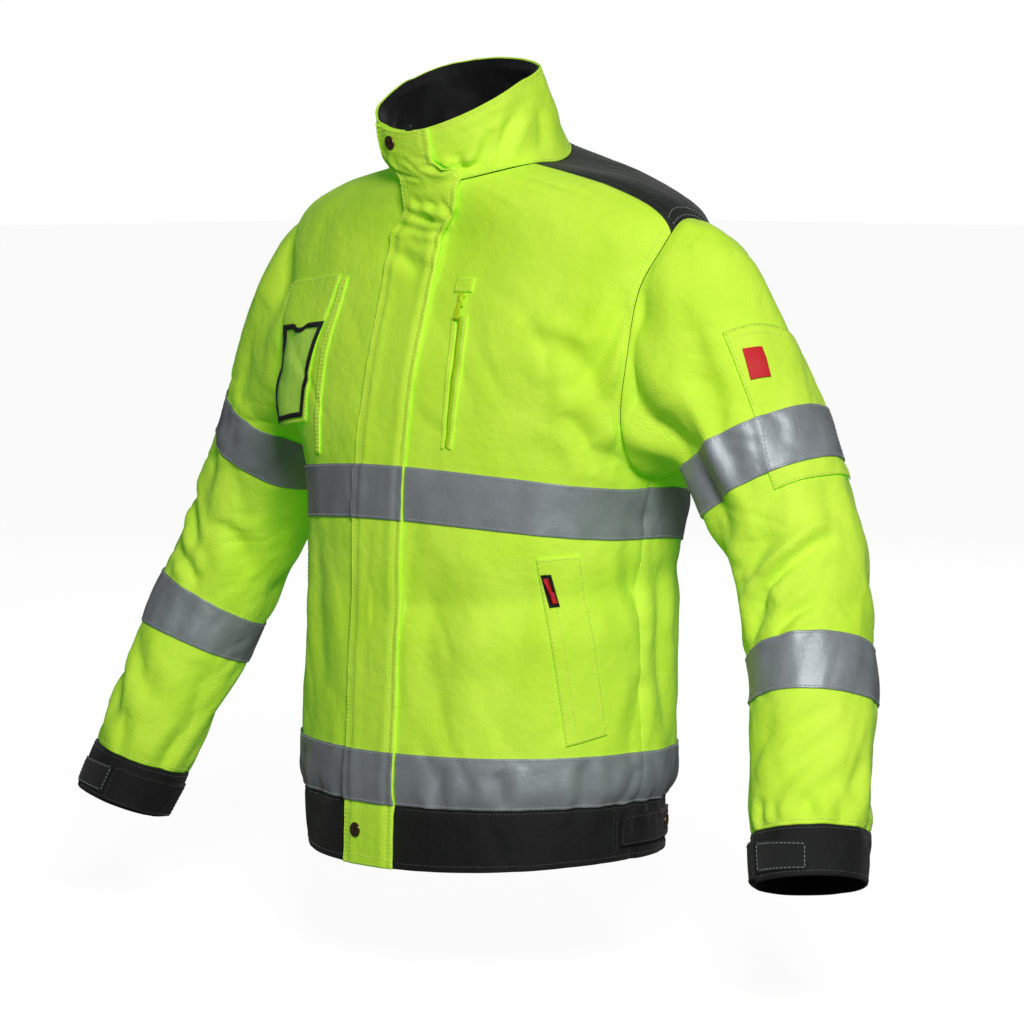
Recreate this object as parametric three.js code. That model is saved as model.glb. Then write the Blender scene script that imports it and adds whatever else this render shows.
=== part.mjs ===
// A padded high-visibility work jacket, hollow as if it were worn, in millimetres.
// +Z is up, the jacket faces -Y and the wearer's left is +X. The origin lies midway between the two
// points where the shoulder yokes meet the collar, where a wearer's shoulders carry the jacket.
import * as THREE from "three";

// Thicknesses and gaps.
const shellWall = 2.4;
const liningWall = 1.6;
const trimWall = 1;
const flapWall = 2.8;
const halfSeam = 0.18;
const layerGap = 0.6;

// Levels of the body's rings, as their height at the jacket's sides.
const hemLevel = -641;
const waistSeam = -588;
const hemTapeTop = -540;
const chestTapeLow = -344;
const chestTapeTop = -296;
const underarm = -280;
const shoulderTip = -50;
const neckSeam = 0;

// Places round the body, in degrees from the centre front towards the wearer's left.
const sideSeam = 91;
const armholeReach = 28;
const yokeNeckFront = 77;
const yokeNeckBack = 158;
const yokeCornerFront = 28;
const yokeCornerBack = 50;

// Distances from the centre front: half the main zip, and the storm flap's two edges.
const zipHalf = 5;
const flapEdgeLeft = 25;
const flapEdgeRight = -41;

// The body's rings. at: height at the sides. half: half width. front, back, side: how far forward or
// back the centre front, centre back and sides lie. frontUp, backUp: how much higher the ring runs
// there than at the sides. square: how full its corners are. bend: how late the ring turns up or down.
const bodyRings = [
  { at: -641, half: 183, front: -155, back: 124, side: -3, frontUp: -10, backUp: 9, square: 0.045, bend: 2 },
  { at: -590, half: 187, front: -154, back: 122, side: -2, frontUp: -4, backUp: -3, square: 0.045, bend: 2 },
  { at: -570, half: 193, front: -154, back: 132, side: -1, frontUp: -3, backUp: -2, square: 0.045, bend: 2 },
  { at: -540, half: 194, front: -152, back: 135, side: 0, frontUp: -3, backUp: 0, square: 0.045, bend: 2 },
  { at: -440, half: 195, front: -146, back: 132, side: 0, frontUp: 4, backUp: -6, square: 0.045, bend: 2 },
  { at: -344, half: 193, front: -141, back: 138, side: 0, frontUp: 15, backUp: -22, square: 0.05, bend: 2 },
  { at: -296, half: 201, front: -137, back: 143, side: 0, frontUp: 17, backUp: -25, square: 0.055, bend: 2 },
  { at: -190, half: 242, front: -123, back: 140, side: 2, frontUp: 0, backUp: 0, square: 0.06, bend: 2 },
  { at: -115, half: 246, front: -104, back: 128, side: 4, frontUp: -6, backUp: 4, square: 0.05, bend: 2 },
  { at: -50, half: 245, front: -91, back: 108, side: 5, frontUp: -22, backUp: 8, square: 0.03, bend: 2 },
  { at: -16, half: 175, front: -92, back: 84, side: -2, frontUp: -26, backUp: 16, square: 0.02, bend: 2 },
  { at: 0, half: 85, front: -95, back: 60, side: -10, frontUp: -22, backUp: 26, square: 0.04, bend: 2 },
];

// The collar's rings from its seam to its top edge, with the height at the sides as up.
const collarRings = [
  { at: 0, up: 0, half: 85, front: -95, back: 60, side: -10, frontUp: -22, backUp: 26, square: 0.04, bend: 2 },
  { at: 0.5, up: 42, half: 81, front: -104, back: 33, side: -24, frontUp: -38, backUp: 24, square: 0.07, bend: 1.5 },
  { at: 1, up: 77, half: 79, front: -110, back: 10, side: -35, frontUp: -48, backUp: 22, square: 0.1, bend: 1.2 },
];

// The arm's sections below the armhole. down: how far its centre lies below the origin. x, y: its
// centre. radius: its radius towards and away from the body. depth: its radius front to back.
const armSections = [
  { down: 248, x: 308, y: 25, radius: 67, depth: 68 },
  { down: 303, x: 338, y: 27, radius: 65, depth: 65 },
  { down: 356, x: 367, y: 24, radius: 61, depth: 62 },
  { down: 411, x: 389, y: 9, radius: 58, depth: 59 },
  { down: 457, x: 407, y: -6, radius: 56, depth: 57 },
  { down: 524, x: 426, y: -28, radius: 55, depth: 56 },
  { down: 594, x: 449, y: -54, radius: 53, depth: 54 },
  { down: 634, x: 463, y: -70, radius: 50, depth: 51 },
];
const armBands = { upperTop: 248, upperLow: 293, lowerTop: 435, lowerLow: 480, cuffTop: 592, cuffLow: 632 };
const sleeveColumns = [
  0, 14, 28, 40, 50, 64, 78, 98, 118, 140, 160, 180, 200, 220, 242, 262, 282, 296, 310, 320, 332, 346,
];
const arms = [
  { name: "left", side: 1, rise: 8 },
  { name: "right", side: -1, rise: -8 },
];

// The cloths and fittings, with the colours of the photograph.
const finish = (color, roughness, metalness = 0) =>
  new THREE.MeshStandardMaterial({ color, roughness, metalness });
const finishes = {
  lime: finish("#c8f000", 0.75),
  charcoal: finish("#2b302c", 0.85),
  black: finish("#121313", 0.85),
  reflective: finish("#8b9299", 0.45),
  bronze: finish("#5b4634", 0.35, 0.9),
  zip: finish("#b9dc12", 0.5),
  red: finish("#d8232a", 0.5),
  clear: finish("#dfe8b0", 0.1),
};

const degrees = Math.PI / 180;
const point = (x, y, z) => new THREE.Vector3(x, y, z);

const limits = (table, key = "at") => [table[0][key], table[table.length - 1][key]];

// Reads one column of a table between its rows, along a smooth curve through them.
function read(table, column, at, key = "at") {
  const last = table.length - 1;
  let i = 0;
  while (i < last - 1 && at > table[i + 1][key]) i += 1;
  const slope = (row) => {
    const before = table[Math.max(row - 1, 0)];
    const after = table[Math.min(row + 1, last)];
    return (after[column] - before[column]) / (after[key] - before[key]);
  };
  const span = table[i + 1][key] - table[i][key];
  const t = THREE.MathUtils.clamp((at - table[i][key]) / span, 0, 1);
  return (
    (2 * t ** 3 - 3 * t ** 2 + 1) * table[i][column] +
    (t ** 3 - 2 * t ** 2 + t) * span * slope(i) +
    (3 * t ** 2 - 2 * t ** 3) * table[i + 1][column] +
    (t ** 3 - t ** 2) * span * slope(i + 1)
  );
}

// A point of a ring: an oval with its own front and back depth and lift, and slightly full corners.
function ringPoint(rings, turn, at, height) {
  const sine = Math.sin(turn * degrees);
  const cosine = Math.cos(turn * degrees);
  const full = 1 + read(rings, "square", at) * (2 * sine * cosine) ** 2;
  const side = read(rings, "side", at);
  const end = read(rings, cosine > 0 ? "front" : "back", at);
  const lift = read(rings, cosine > 0 ? "frontUp" : "backUp", at);
  return point(
    read(rings, "half", at) * sine * full,
    side + (end - side) * Math.abs(cosine) * full,
    height + lift * Math.abs(cosine) ** read(rings, "bend", at),
  );
}

const body = {
  place: (turn, at) => ringPoint(bodyRings, turn, at, at),
  turnAt: (x, at) => Math.asin(x / read(bodyRings, "half", at)) / degrees,
  steps: [0.5, 1],
};
const collar = {
  place: (turn, at) => ringPoint(collarRings, turn, at, read(collarRings, "up", at)),
  turnAt: (x, at) => Math.asin(x / read(collarRings, "half", at)) / degrees,
  steps: [0.5, 0.01],
};

// The armhole, a rounded loop round the side of the body, from its top (0) by the front (90).
function armholePlace(turn) {
  const sine = Math.sin(turn * degrees);
  const cosine = Math.cos(turn * degrees);
  const round = (value) => Math.sign(value) * Math.abs(value) ** 0.88;
  const middle = (shoulderTip + underarm) / 2;
  const reach = (shoulderTip - underarm) / 2;
  return [sideSeam - armholeReach * round(sine), middle + reach * round(cosine)];
}

// A section of the left arm: its centre and its directions outwards, forwards and along the arm.
function armSection(down) {
  const centre = (at) => point(read(armSections, "x", at, "down"), read(armSections, "y", at, "down"), -at);
  const [first, last] = limits(armSections, "down");
  const along = centre(Math.min(down + 1, last)).sub(centre(Math.max(down - 1, first))).normalize();
  const out = point(1, 0, 0).addScaledVector(along, -along.x).normalize();
  return { centre: centre(down), along, out, fore: out.clone().cross(along).negate() };
}

// The left sleeve. at: 0 to 1 from the armhole to the upper band, and above 1 the arm's own down.
const sleeve = {
  place(turn, at) {
    const sine = Math.sin(turn * degrees);
    const cosine = Math.cos(turn * degrees);
    const down = at > 1 ? at : armBands.upperTop;
    const section = armSection(down);
    const end = section.centre
      .addScaledVector(section.out, read(armSections, "radius", down, "down") * cosine)
      .addScaledVector(section.fore, read(armSections, "depth", down, "down") * sine);
    if (at > 1) return end;
    const loop = armholePlace(turn);
    const clear = 0.2 * (1 - cosine);
    const start = body.place(...loop).addScaledVector(normalAt(body, ...loop), clear);
    const reach = start.distanceTo(end);
    const leave = point(0.62 + 0.35 * cosine, -0.2 * sine, -0.62 + 0.36 * cosine).normalize();
    const blend = 3 * at ** 2 - 2 * at ** 3;
    return start
      .lerp(end, blend)
      .addScaledVector(leave, (at ** 3 - 2 * at ** 2 + at) * reach)
      .addScaledVector(section.along, (at ** 3 - at ** 2) * reach);
  },
  steps: [1, 0.01],
};

// The lowest and highest place a small step either side of one along a surface, for its normal.
body.span = (at) => [Math.max(at - 1, limits(bodyRings)[0]), Math.min(at + 1, limits(bodyRings)[1])];
collar.span = (at) => [Math.max(at - 0.02, 0), Math.min(at + 0.02, 1)];
sleeve.span = (at) => (at > 1
  ? [Math.max(at - 1, limits(armSections, "down")[0]), Math.min(at + 1, limits(armSections, "down")[1])]
  : [Math.max(at - 0.02, 0), Math.min(at + 0.02, 1)]);

// The outward direction of a surface at one place.
function normalAt(surface, turn, at) {
  const [low, high] = surface.span(at);
  const along = surface.place(turn + 0.5, at).sub(surface.place(turn - 0.5, at));
  const up = surface.place(turn, high).sub(surface.place(turn, low));
  return along.cross(up).normalize();
}

// Points of a grid of cells, each a surface with a turn and a place along it, moved out by offset.
function gridPoints(cells, offset) {
  const distance = typeof offset === "function" ? offset : () => offset;
  return cells.map((row) =>
    row.map(([surface, turn, at]) =>
      surface.place(turn, at).addScaledVector(normalAt(surface, turn, at), distance(turn, at)),
    ),
  );
}

// Moves the outline of two facing grids in by half a seam, so that neighbours stay apart.
function parted(outer, inner, round) {
  const shifts = outer.map((row, i) =>
    row.map((place, j) => {
      const shift = point(0, 0, 0);
      const pull = (towards) => shift.addScaledVector(towards.clone().sub(place).normalize(), halfSeam);
      if (i === 0) pull(outer[1][j]);
      if (i === outer.length - 1) pull(outer[i - 1][j]);
      if (!round && j === 0) pull(row[1]);
      if (!round && j === row.length - 1) pull(row[j - 1]);
      return shift;
    }),
  );
  const moved = (grid) => grid.map((row, i) => row.map((place, j) => place.clone().add(shifts[i][j])));
  return [moved(outer), moved(inner)];
}

// A closed wall between an outer and an inner grid. round joins the last column to the first.
function wallGeometry(outer, inner, round) {
  const rows = outer.length;
  const columns = outer[0].length;
  const index = (layer, row, column) => (layer * rows + row) * columns + (column % columns);
  const triangles = [];
  const quad = (a, b, c, d) => triangles.push(a, b, c, a, c, d);
  const steps = round ? columns : columns - 1;
  for (let column = 0; column < steps; column += 1) {
    for (let row = 0; row < rows - 1; row += 1) {
      quad(index(0, row, column), index(0, row, column + 1), index(0, row + 1, column + 1), index(0, row + 1, column));
      quad(index(1, row, column), index(1, row + 1, column), index(1, row + 1, column + 1), index(1, row, column + 1));
    }
    const top = rows - 1;
    quad(index(0, 0, column), index(1, 0, column), index(1, 0, column + 1), index(0, 0, column + 1));
    quad(index(0, top, column + 1), index(1, top, column + 1), index(1, top, column), index(0, top, column));
  }
  for (let row = 0; row < rows - 1 && !round; row += 1) {
    const end = columns - 1;
    quad(index(0, row + 1, 0), index(1, row + 1, 0), index(1, row, 0), index(0, row, 0));
    quad(index(0, row, end), index(1, row, end), index(1, row + 1, end), index(0, row + 1, end));
  }
  const corners = [...outer, ...inner].flat();
  let volume = 0;
  for (let i = 0; i < triangles.length; i += 3) {
    const [a, b, c] = triangles.slice(i, i + 3).map((corner) => corners[corner]);
    volume += a.dot(b.clone().cross(c));
  }
  if (volume < 0) triangles.reverse();
  const geometry = new THREE.BufferGeometry();
  geometry.setAttribute("position", new THREE.Float32BufferAttribute(corners.flatMap((p) => p.toArray()), 3));
  geometry.setIndex(triangles);
  geometry.computeVertexNormals();
  return geometry;
}

const garment = new THREE.Group();

function add(name, geometry, look) {
  const mesh = new THREE.Mesh(geometry, finishes[look]);
  mesh.name = name;
  garment.add(mesh);
  return mesh;
}

// One piece of cloth: the cells between two offsets from its surface. change moves its points, such as
// to the right side of the jacket.
function cloth(name, look, cells, low, high, { round = false, change = (place) => place } = {}) {
  const grids = parted(gridPoints(cells, high), gridPoints(cells, low), round);
  const [outer, inner] = grids.map((grid) => grid.map((row) => row.map(change)));
  return add(name, wallGeometry(outer, inner, round), look);
}

const mirrored = (place) => point(-place.x, place.y, place.z);
const onSide = (side) => ({ change: side > 0 ? (place) => place : mirrored });
const evenly = (from, to, steps) => Array.from({ length: steps + 1 }, (_, i) => from + ((to - from) * i) / steps);
const cellsOf = (surface, turns, levels) => levels.map((at) => turns.map((turn) => [surface, turn, at]));

// A patch between four corners, each a turn and a place, the lower edge first.
function patchCells(surface, [lowStart, lowEnd, topStart, topEnd], columns, rows) {
  const mix = (a, b, share) => a + (b - a) * share;
  return evenly(0, 1, rows).map((up) =>
    evenly(0, 1, columns).map((across) => [
      surface,
      mix(mix(lowStart[0], lowEnd[0], across), mix(topStart[0], topEnd[0], across), up),
      mix(mix(lowStart[1], lowEnd[1], across), mix(topStart[1], topEnd[1], across), up),
    ]),
  );
}

// Rows shared by the front, the back and what is sewn on them: the side seam, then the armhole, then
// the yoke's seam up to the collar.
const sideLevels = [
  waistSeam,
  -564,
  hemTapeTop,
  -500,
  -460,
  -420,
  -382,
  chestTapeLow,
  -320,
  chestTapeTop,
];
const armholeTurns = [180, 160, 140, 118, 98, 78, 64, yokeCornerBack, 40, yokeCornerFront];
const yokeSteps = [0, 0.35, 0.65, 0.83, 0.93, 1];
const yokeRows = yokeSteps.length - 1;
const yokeLoop = [yokeCornerFront, 14, 0, -14, -28, -40, -yokeCornerBack];
const frontColumns = 12;
const backColumns = 16;

const zipTurn = (surface, at) => surface.turnAt(zipHalf, at);

// The side edge of a front (forward 1) or of half the back (forward -1), from the waist seam up.
function sideEdge(forward) {
  const corner = forward > 0 ? yokeCornerFront : yokeCornerBack;
  const loop = armholeTurns.filter((turn) => turn >= corner).map((turn) => armholePlace(forward * turn));
  const [cornerTurn, cornerAt] = loop[loop.length - 1];
  const neckTurn = forward > 0 ? yokeNeckFront : yokeNeckBack;
  return [
    ...sideLevels.map((at) => [sideSeam, at]),
    ...loop,
    ...yokeSteps.slice(1).map((up) => [cornerTurn + (neckTurn - cornerTurn) * up, cornerAt * (1 - up)]),
  ];
}

// The centre edge's levels: those of the side seam, then even steps up to the collar.
const centreLevels = (rows) => [
  ...sideLevels,
  ...evenly(chestTapeTop, neckSeam, rows - sideLevels.length).slice(1),
];

const frontLevels = centreLevels(sideEdge(1).length);
function frontCells() {
  return sideEdge(1).map(([turn, at], i) => {
    const centre = frontLevels[i];
    const start = zipTurn(body, centre);
    return evenly(0, 1, frontColumns).map((across) => [
      body,
      start + (turn - start) * across,
      centre + (at - centre) * across,
    ]);
  });
}

// The back, from the wearer's left to the right, ruled between its two side edges by way of the centre.
function backCells() {
  const edge = sideEdge(-1);
  const levels = centreLevels(edge.length);
  return edge.map(([turn, at], i) =>
    evenly(-1, 1, backColumns).map((across) => [
      body,
      180 + (180 - turn) * across,
      levels[i] + (at - levels[i]) * across ** 2,
    ]),
  );
}

function yokeCells() {
  const front = sideEdge(1).slice(-yokeRows - 1);
  const back = sideEdge(-1).slice(-yokeRows - 1);
  const loop = yokeLoop.map((turn) => armholePlace(turn));
  return front.map(([turn, at], i) => {
    const up = yokeSteps[i];
    return loop.map(([loopTurn, loopAt], j) => {
      const across = j / (loop.length - 1);
      const ruledTurn = turn + (back[i][0] - turn) * across;
      const ruledAt = at + (back[i][1] - at) * across;
      const chordTurn = loop[0][0] + (loop[loop.length - 1][0] - loop[0][0]) * across;
      const chordAt = loop[0][1] + (loop[loop.length - 1][1] - loop[0][1]) * across;
      return [body, ruledTurn + (loopTurn - chordTurn) * (1 - up), ruledAt + (loopAt - chordAt) * (1 - up)];
    });
  });
}

// Fronts, back and yokes.
for (const { name, side } of arms) {
  cloth(`front_${name}`, "lime", frontCells(), -shellWall, 0, onSide(side));
  cloth(`yoke_${name}`, "charcoal", yokeCells(), -shellWall, 0, onSide(side));
}
cloth("back", "lime", backCells(), -shellWall, 0);

// The stand collar and its lining, from one zip edge round the back to the other.
function collarCells(levels) {
  return levels.map((at) => {
    const start = zipTurn(collar, at);
    const half = [
      ...evenly(start, yokeNeckFront, frontColumns),
      ...evenly(yokeNeckFront, yokeNeckBack, yokeLoop.length - 1).slice(1),
      ...evenly(yokeNeckBack, 180, backColumns / 2).slice(1),
    ];
    const otherHalf = half.slice(0, -1).reverse().map((turn) => 360 - turn);
    return [...half, ...otherHalf].map((turn) => [collar, turn, at]);
  });
}
const collarWall = 2;
cloth("collar_outer", "lime", collarCells([0, 0.33, 0.67, 1]), -collarWall, 0);
cloth("collar_lining", "black", collarCells([0.02, 0.33, 0.67, 1]), -collarWall - layerGap - liningWall, -collarWall - layerGap);

// The sleeves, hung from the armholes, with their cuffs and reflective bands.
const capRows = evenly(0, 1, 6);
const pocketLow = 308;
const pocketSlant = 0.0016;
const armRows = [...evenly(armBands.upperTop, armBands.upperLow, 2).slice(1), pocketLow, 350, 388, armBands.lowerTop,
  ...evenly(armBands.lowerTop, armBands.lowerLow, 2).slice(1), 501, 532, 563, armBands.cuffTop];
const armLift = (rise) => (place) => {
  const share = THREE.MathUtils.smoothstep(-place.z, 380, 650);
  return point(place.x, place.y, place.z + rise * share);
};
const onArm = ({ side, rise }) => ({
  change: (place) => onSide(side).change(armLift(rise)(place)),
});
const ringCells = (levels) => cellsOf(sleeve, sleeveColumns, levels);
const bandRows = (top, low) => evenly(top, low, 2);

// The sleeve pocket lies on the left sleeve's outer side, and the upper band passes over it.
const pocketTurns = [-40, -28, -14, 0, 14, 28, 40];
const pocketGap = 1.2;
const pocketStep = trimWall + pocketGap;
function overPocket(turn) {
  const wrapped = turn > 180 ? turn - 360 : turn;
  return Math.abs(wrapped) <= pocketTurns[pocketTurns.length - 1] ? pocketStep : 0;
}

for (const arm of arms) {
  const bandLift = arm.side > 0 ? overPocket : () => 0;
  const round = { ...onArm(arm), round: true };
  const bandOver = (low) => (turn) => low + bandLift(turn);
  cloth(`sleeve_${arm.name}`, "lime", ringCells([...capRows, ...armRows]), -shellWall, 0, round);
  cloth(`upper_band_${arm.name}`, "reflective", ringCells(bandRows(armBands.upperTop, armBands.upperLow)),
    bandOver(layerGap), bandOver(layerGap + trimWall), round);
  cloth(`lower_band_${arm.name}`, "reflective", ringCells(bandRows(armBands.lowerTop, armBands.lowerLow)),
    layerGap, layerGap + trimWall, round);
  cloth(`cuff_${arm.name}`, "black", ringCells(bandRows(armBands.cuffTop, armBands.cuffLow)), -shellWall, 0, round);
  const tab = [[118, 630], [222, 630], [118, 600], [222, 600]];
  const loopPatch = [[56, 628], [114, 626], [56, 607], [114, 602]];
  cloth(`cuff_tab_${arm.name}`, "black", patchCells(sleeve, tab, 7, 1), layerGap, layerGap + shellWall, onArm(arm));
  cloth(`cuff_loop_${arm.name}`, "black", patchCells(sleeve, loopPatch, 5, 1), layerGap, layerGap + trimWall, onArm(arm));
}

// The waistband and the reflective tapes round the body.
function frontRing(levels, edge) {
  return levels.map((at) => {
    const start = body.turnAt(edge, at);
    const zipStart = zipTurn(body, at);
    const shared = evenly(zipStart, sideSeam, frontColumns).filter((turn) => turn > start + 3);
    const missing = frontColumns + 1 - shared.length;
    return [...(missing > 0 ? [start] : []), ...shared].map((turn) => [body, turn, at]);
  });
}
const backRing = (levels) => cellsOf(body, evenly(sideSeam, 360 - sideSeam, backColumns), levels);
const bandOut = [layerGap, layerGap + trimWall];
const waistLevels = [hemLevel, (hemLevel + waistSeam) / 2, waistSeam];
const chestLevels = [chestTapeLow, -320, chestTapeTop];
const hemTapeLevels = [waistSeam, -564, hemTapeTop];
const edgeGap = 0.5;
for (const { name, side } of arms) {
  const flapEdge = (side > 0 ? flapEdgeLeft : -flapEdgeRight) + edgeGap;
  cloth(`waistband_${name}`, "black", frontRing(waistLevels, zipHalf), -shellWall, 0, onSide(side));
  cloth(`chest_tape_${name}`, "reflective", frontRing(chestLevels, flapEdge), ...bandOut, onSide(side));
  cloth(`hem_tape_${name}`, "reflective", frontRing(hemTapeLevels, flapEdge), ...bandOut, onSide(side));
}
cloth("waistband_back", "black", backRing(waistLevels), -shellWall, 0);
cloth("chest_tape_back", "reflective", backRing(chestLevels), ...bandOut);
cloth("hem_tape_back", "reflective", backRing(hemTapeLevels), ...bandOut);

// What runs up the centre front, over the body and then the collar.
function centreCells(bodyLevels, collarLevels, edges) {
  const row = (surface, at) => edges.map((x) => [surface, surface.turnAt(x, at), at]);
  return [...bodyLevels.map((at) => row(body, at)), ...collarLevels.map((at) => row(collar, at))];
}
const centreBody = [...waistLevels.slice(0, 2), ...frontLevels];
const zipEdge = zipHalf - 0.6;
const flapEdges = evenly(flapEdgeRight, flapEdgeLeft, 4);
const flapTop = layerGap + flapWall;
cloth("main_zip", "zip", centreCells(centreBody, [0.33, 0.67, 0.9], [-zipEdge, 0, zipEdge]), -3, -0.2);
cloth("storm_flap", "lime", centreCells(centreBody, [0.33, 0.67, 1], flapEdges),
  (turn, at) => layerGap + flapStand(at), (turn, at) => flapTop + flapStand(at));
// The flap stands a little further off where it crosses the neck.
function flapStand(at) {
  return at > 0 ? 2.5 - 2 * at : 2.5 * THREE.MathUtils.smoothstep(at, -150, -40);
}
const overFlap = [flapTop + layerGap, flapTop + layerGap + trimWall];
cloth("chest_tape_flap", "reflective", centreCells(chestLevels, [], flapEdges), ...overFlap);
cloth("hem_tape_flap", "reflective", centreCells(hemTapeLevels, [], flapEdges), ...overFlap);

// Pockets and trims on the fronts, each patch by its corners: low front, low side, top front, top side.
const trims = [
  { name: "chest_zip_welt_front", look: "lime", corners: [[17.6, -274], [18.6, -274], [12.8, -137], [14.2, -137]], steps: [1, 6], out: [0.6, 2] },
  { name: "chest_zip_tape", look: "zip", corners: [[18.8, -273], [19.7, -273], [14.5, -137], [15.7, -137]], steps: [1, 6], out: [0.6, 1.4] },
  { name: "chest_zip_welt_side", look: "lime", corners: [[19.9, -274], [20.9, -274], [16, -137], [17.3, -137]], steps: [1, 6], out: [0.6, 2] },
  { name: "chest_zip_garage", look: "lime", corners: [[12.4, -113], [17.4, -113], [12.2, -97], [17.2, -97]], steps: [2, 1], out: [0.6, 2] },
  { name: "lower_welt_left", look: "lime", corners: [[59.8, -530], [74.3, -521.3], [49.4, -364.3], [62.9, -358.4]], steps: [3, 8], out: [0.6, 2] },
  { name: "pocket_label", look: "red", corners: [[53.8, -405], [56.4, -403.5], [51, -379], [53.6, -378]], steps: [1, 1], out: [2.8, 3.6] },
  { name: "lower_welt_right", side: -1, look: "lime", corners: [[59.8, -530], [74.3, -521.3], [49.4, -364.3], [62.9, -358.4]], steps: [3, 8], out: [0.6, 2] },
  { name: "id_holder", side: -1, look: "lime", corners: [[36, -252], [57, -256], [25.5, -98], [51, -114]], steps: [6, 8], out: [0.6, 1.6] },
  { name: "chest_welt_right", side: -1, look: "lime", corners: [[29.4, -286], [31.6, -286], [22.4, -100], [24.8, -101]], steps: [1, 7], out: [0.6, 2] },
];
for (const { name, look, side = 1, corners, steps, out } of trims) {
  cloth(name, look, patchCells(body, corners, ...steps), ...out, onSide(side));
}
const backStep = (360 - 2 * sideSeam) / backColumns;
const tabTurns = [84, ...evenly(sideSeam, sideSeam + 3 * backStep, 3)];
const tabLevels = [-627, waistLevels[1], -598];
for (const { name, side } of arms) {
  cloth(`hem_tab_${name}`, "black", cellsOf(body, tabTurns, tabLevels), layerGap, layerGap + shellWall, onSide(side));
}

const pocketRows = [0.64, 0.72, ...capRows.slice(5), ...bandRows(armBands.upperTop, armBands.upperLow).slice(1), pocketLow];
const pocketCells = cellsOf(sleeve, pocketTurns, pocketRows);
for (const cell of pocketCells[0]) cell[2] -= cell[1] * pocketSlant;
cloth("sleeve_pocket", "lime", pocketCells, pocketGap, pocketStep, onArm(arms[0]));
const badgeOut = [pocketStep + 1, pocketStep + 1 + trimWall];
const badge = [[35, 0.83], [19, 0.85], [32, 0.69], [17, 0.72]];
cloth("sleeve_badge", "red", patchCells(sleeve, badge, 1, 1), ...badgeOut, onArm(arms[0]));

// The card window on the right chest: a black binding round a clear sheet.
const windowCorners = [[36.8, -247], [55, -251], [28, -148], [49.5, -157]];
function windowPlace(across, up) {
  const [lowStart, lowEnd, topStart, topEnd] = windowCorners;
  const mix = (i) => {
    const low = lowStart[i] + (lowEnd[i] - lowStart[i]) * across;
    const top = topStart[i] + (topEnd[i] - topStart[i]) * across;
    return low + (top - low) * up;
  };
  return [body, mix(0), mix(1)];
}
const bindingAcross = 0.08;
const bindingUp = 0.055;
function bindingCells() {
  const along = evenly(0, 1, 6);
  const around = [
    ...along.map((share) => [share, 0]),
    ...along.slice(1).map((share) => [1, share]),
    ...along.slice(1).map((share) => [1 - share, 1]),
    ...along.slice(1, -1).map((share) => [0, 1 - share]),
  ];
  const inside = ([across, up]) =>
    windowPlace(bindingAcross + (1 - 2 * bindingAcross) * across, bindingUp + (1 - 2 * bindingUp) * up);
  return [around.map((place) => windowPlace(...place)), around.map(inside)];
}
const holderTop = layerGap + trimWall;
const bindingOut = [holderTop + 0.8, holderTop + 2.2];
cloth("window_binding", "black", bindingCells(), ...bindingOut, { ...onSide(-1), round: true });
const paneCells = evenly(bindingUp, 1 - bindingUp, 6).map((up) =>
  evenly(bindingAcross, 1 - bindingAcross, 6).map((across) => windowPlace(across, up)),
);
cloth("card_window", "clear", paneCells, bindingOut[0], bindingOut[0] + 0.8, onSide(-1));

// Hard pieces, turned to stand on a surface: their x lies along it, y up it and z out of it.
function standOn(mesh, surface, turn, at, offset, side = 1) {
  const out = normalAt(surface, turn, at);
  const along = surface.place(turn + 0.5, at).sub(surface.place(turn - 0.5, at)).normalize();
  const place = surface.place(turn, at).addScaledVector(out, offset);
  if (side < 0) {
    for (const vector of [out, along, place]) vector.x *= -1;
    along.negate();
  }
  const up = out.clone().cross(along).normalize();
  mesh.matrixAutoUpdate = false;
  mesh.matrix.makeBasis(up.clone().cross(out), up, out).setPosition(place);
}

const snapRadius = 7;
function snap(name, surface, turn, at, offset, side = 1) {
  const profile = [[0, 0], [snapRadius, 0], [snapRadius, 0.9], [snapRadius * 0.72, 1.9], [0, 2.2]];
  const outline = profile.map(([radius, height]) => new THREE.Vector2(radius, height));
  const geometry = new THREE.LatheGeometry(outline, 16).rotateX(Math.PI / 2);
  standOn(add(name, geometry, "bronze"), surface, turn, at, offset, side);
}
const flapSnapX = -22;
const onFlap = flapTop + 0.5;
snap("collar_snap", collar, collar.turnAt(flapSnapX, 0.75), 0.75, onFlap + flapStand(0.75));
snap("hem_snap", body, body.turnAt(flapSnapX, -612), -612, onFlap);
for (const { name, side } of arms) {
  snap(`hem_tab_snap_${name}`, body, 117, -612, layerGap + shellWall, side);
}

// The chest pocket's zip slider and its pull tab, which swings on the slider's lower edge.
const sliderBase = layerGap + trimWall;
standOn(add("zip_slider", new THREE.BoxGeometry(8, 13, 2.4), "zip"), body, 15, -121, sliderBase + 1.2);
standOn(add("zip_pull", new THREE.BoxGeometry(7, 16, 1.4), "zip"), body, 15, -133, sliderBase + 2.4 + 1.2);

// The top end of the main zip, between the collar's edges.
standOn(add("main_zip_slider", new THREE.BoxGeometry(8, 9, 3.6), "black"), collar, 0, 1, -2.4);

export default garment;
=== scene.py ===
"""Cloth, sewing, fittings and materials of the high-visibility work jacket."""
import math

import bpy
import numpy as np
from mathutils import Matrix


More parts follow.
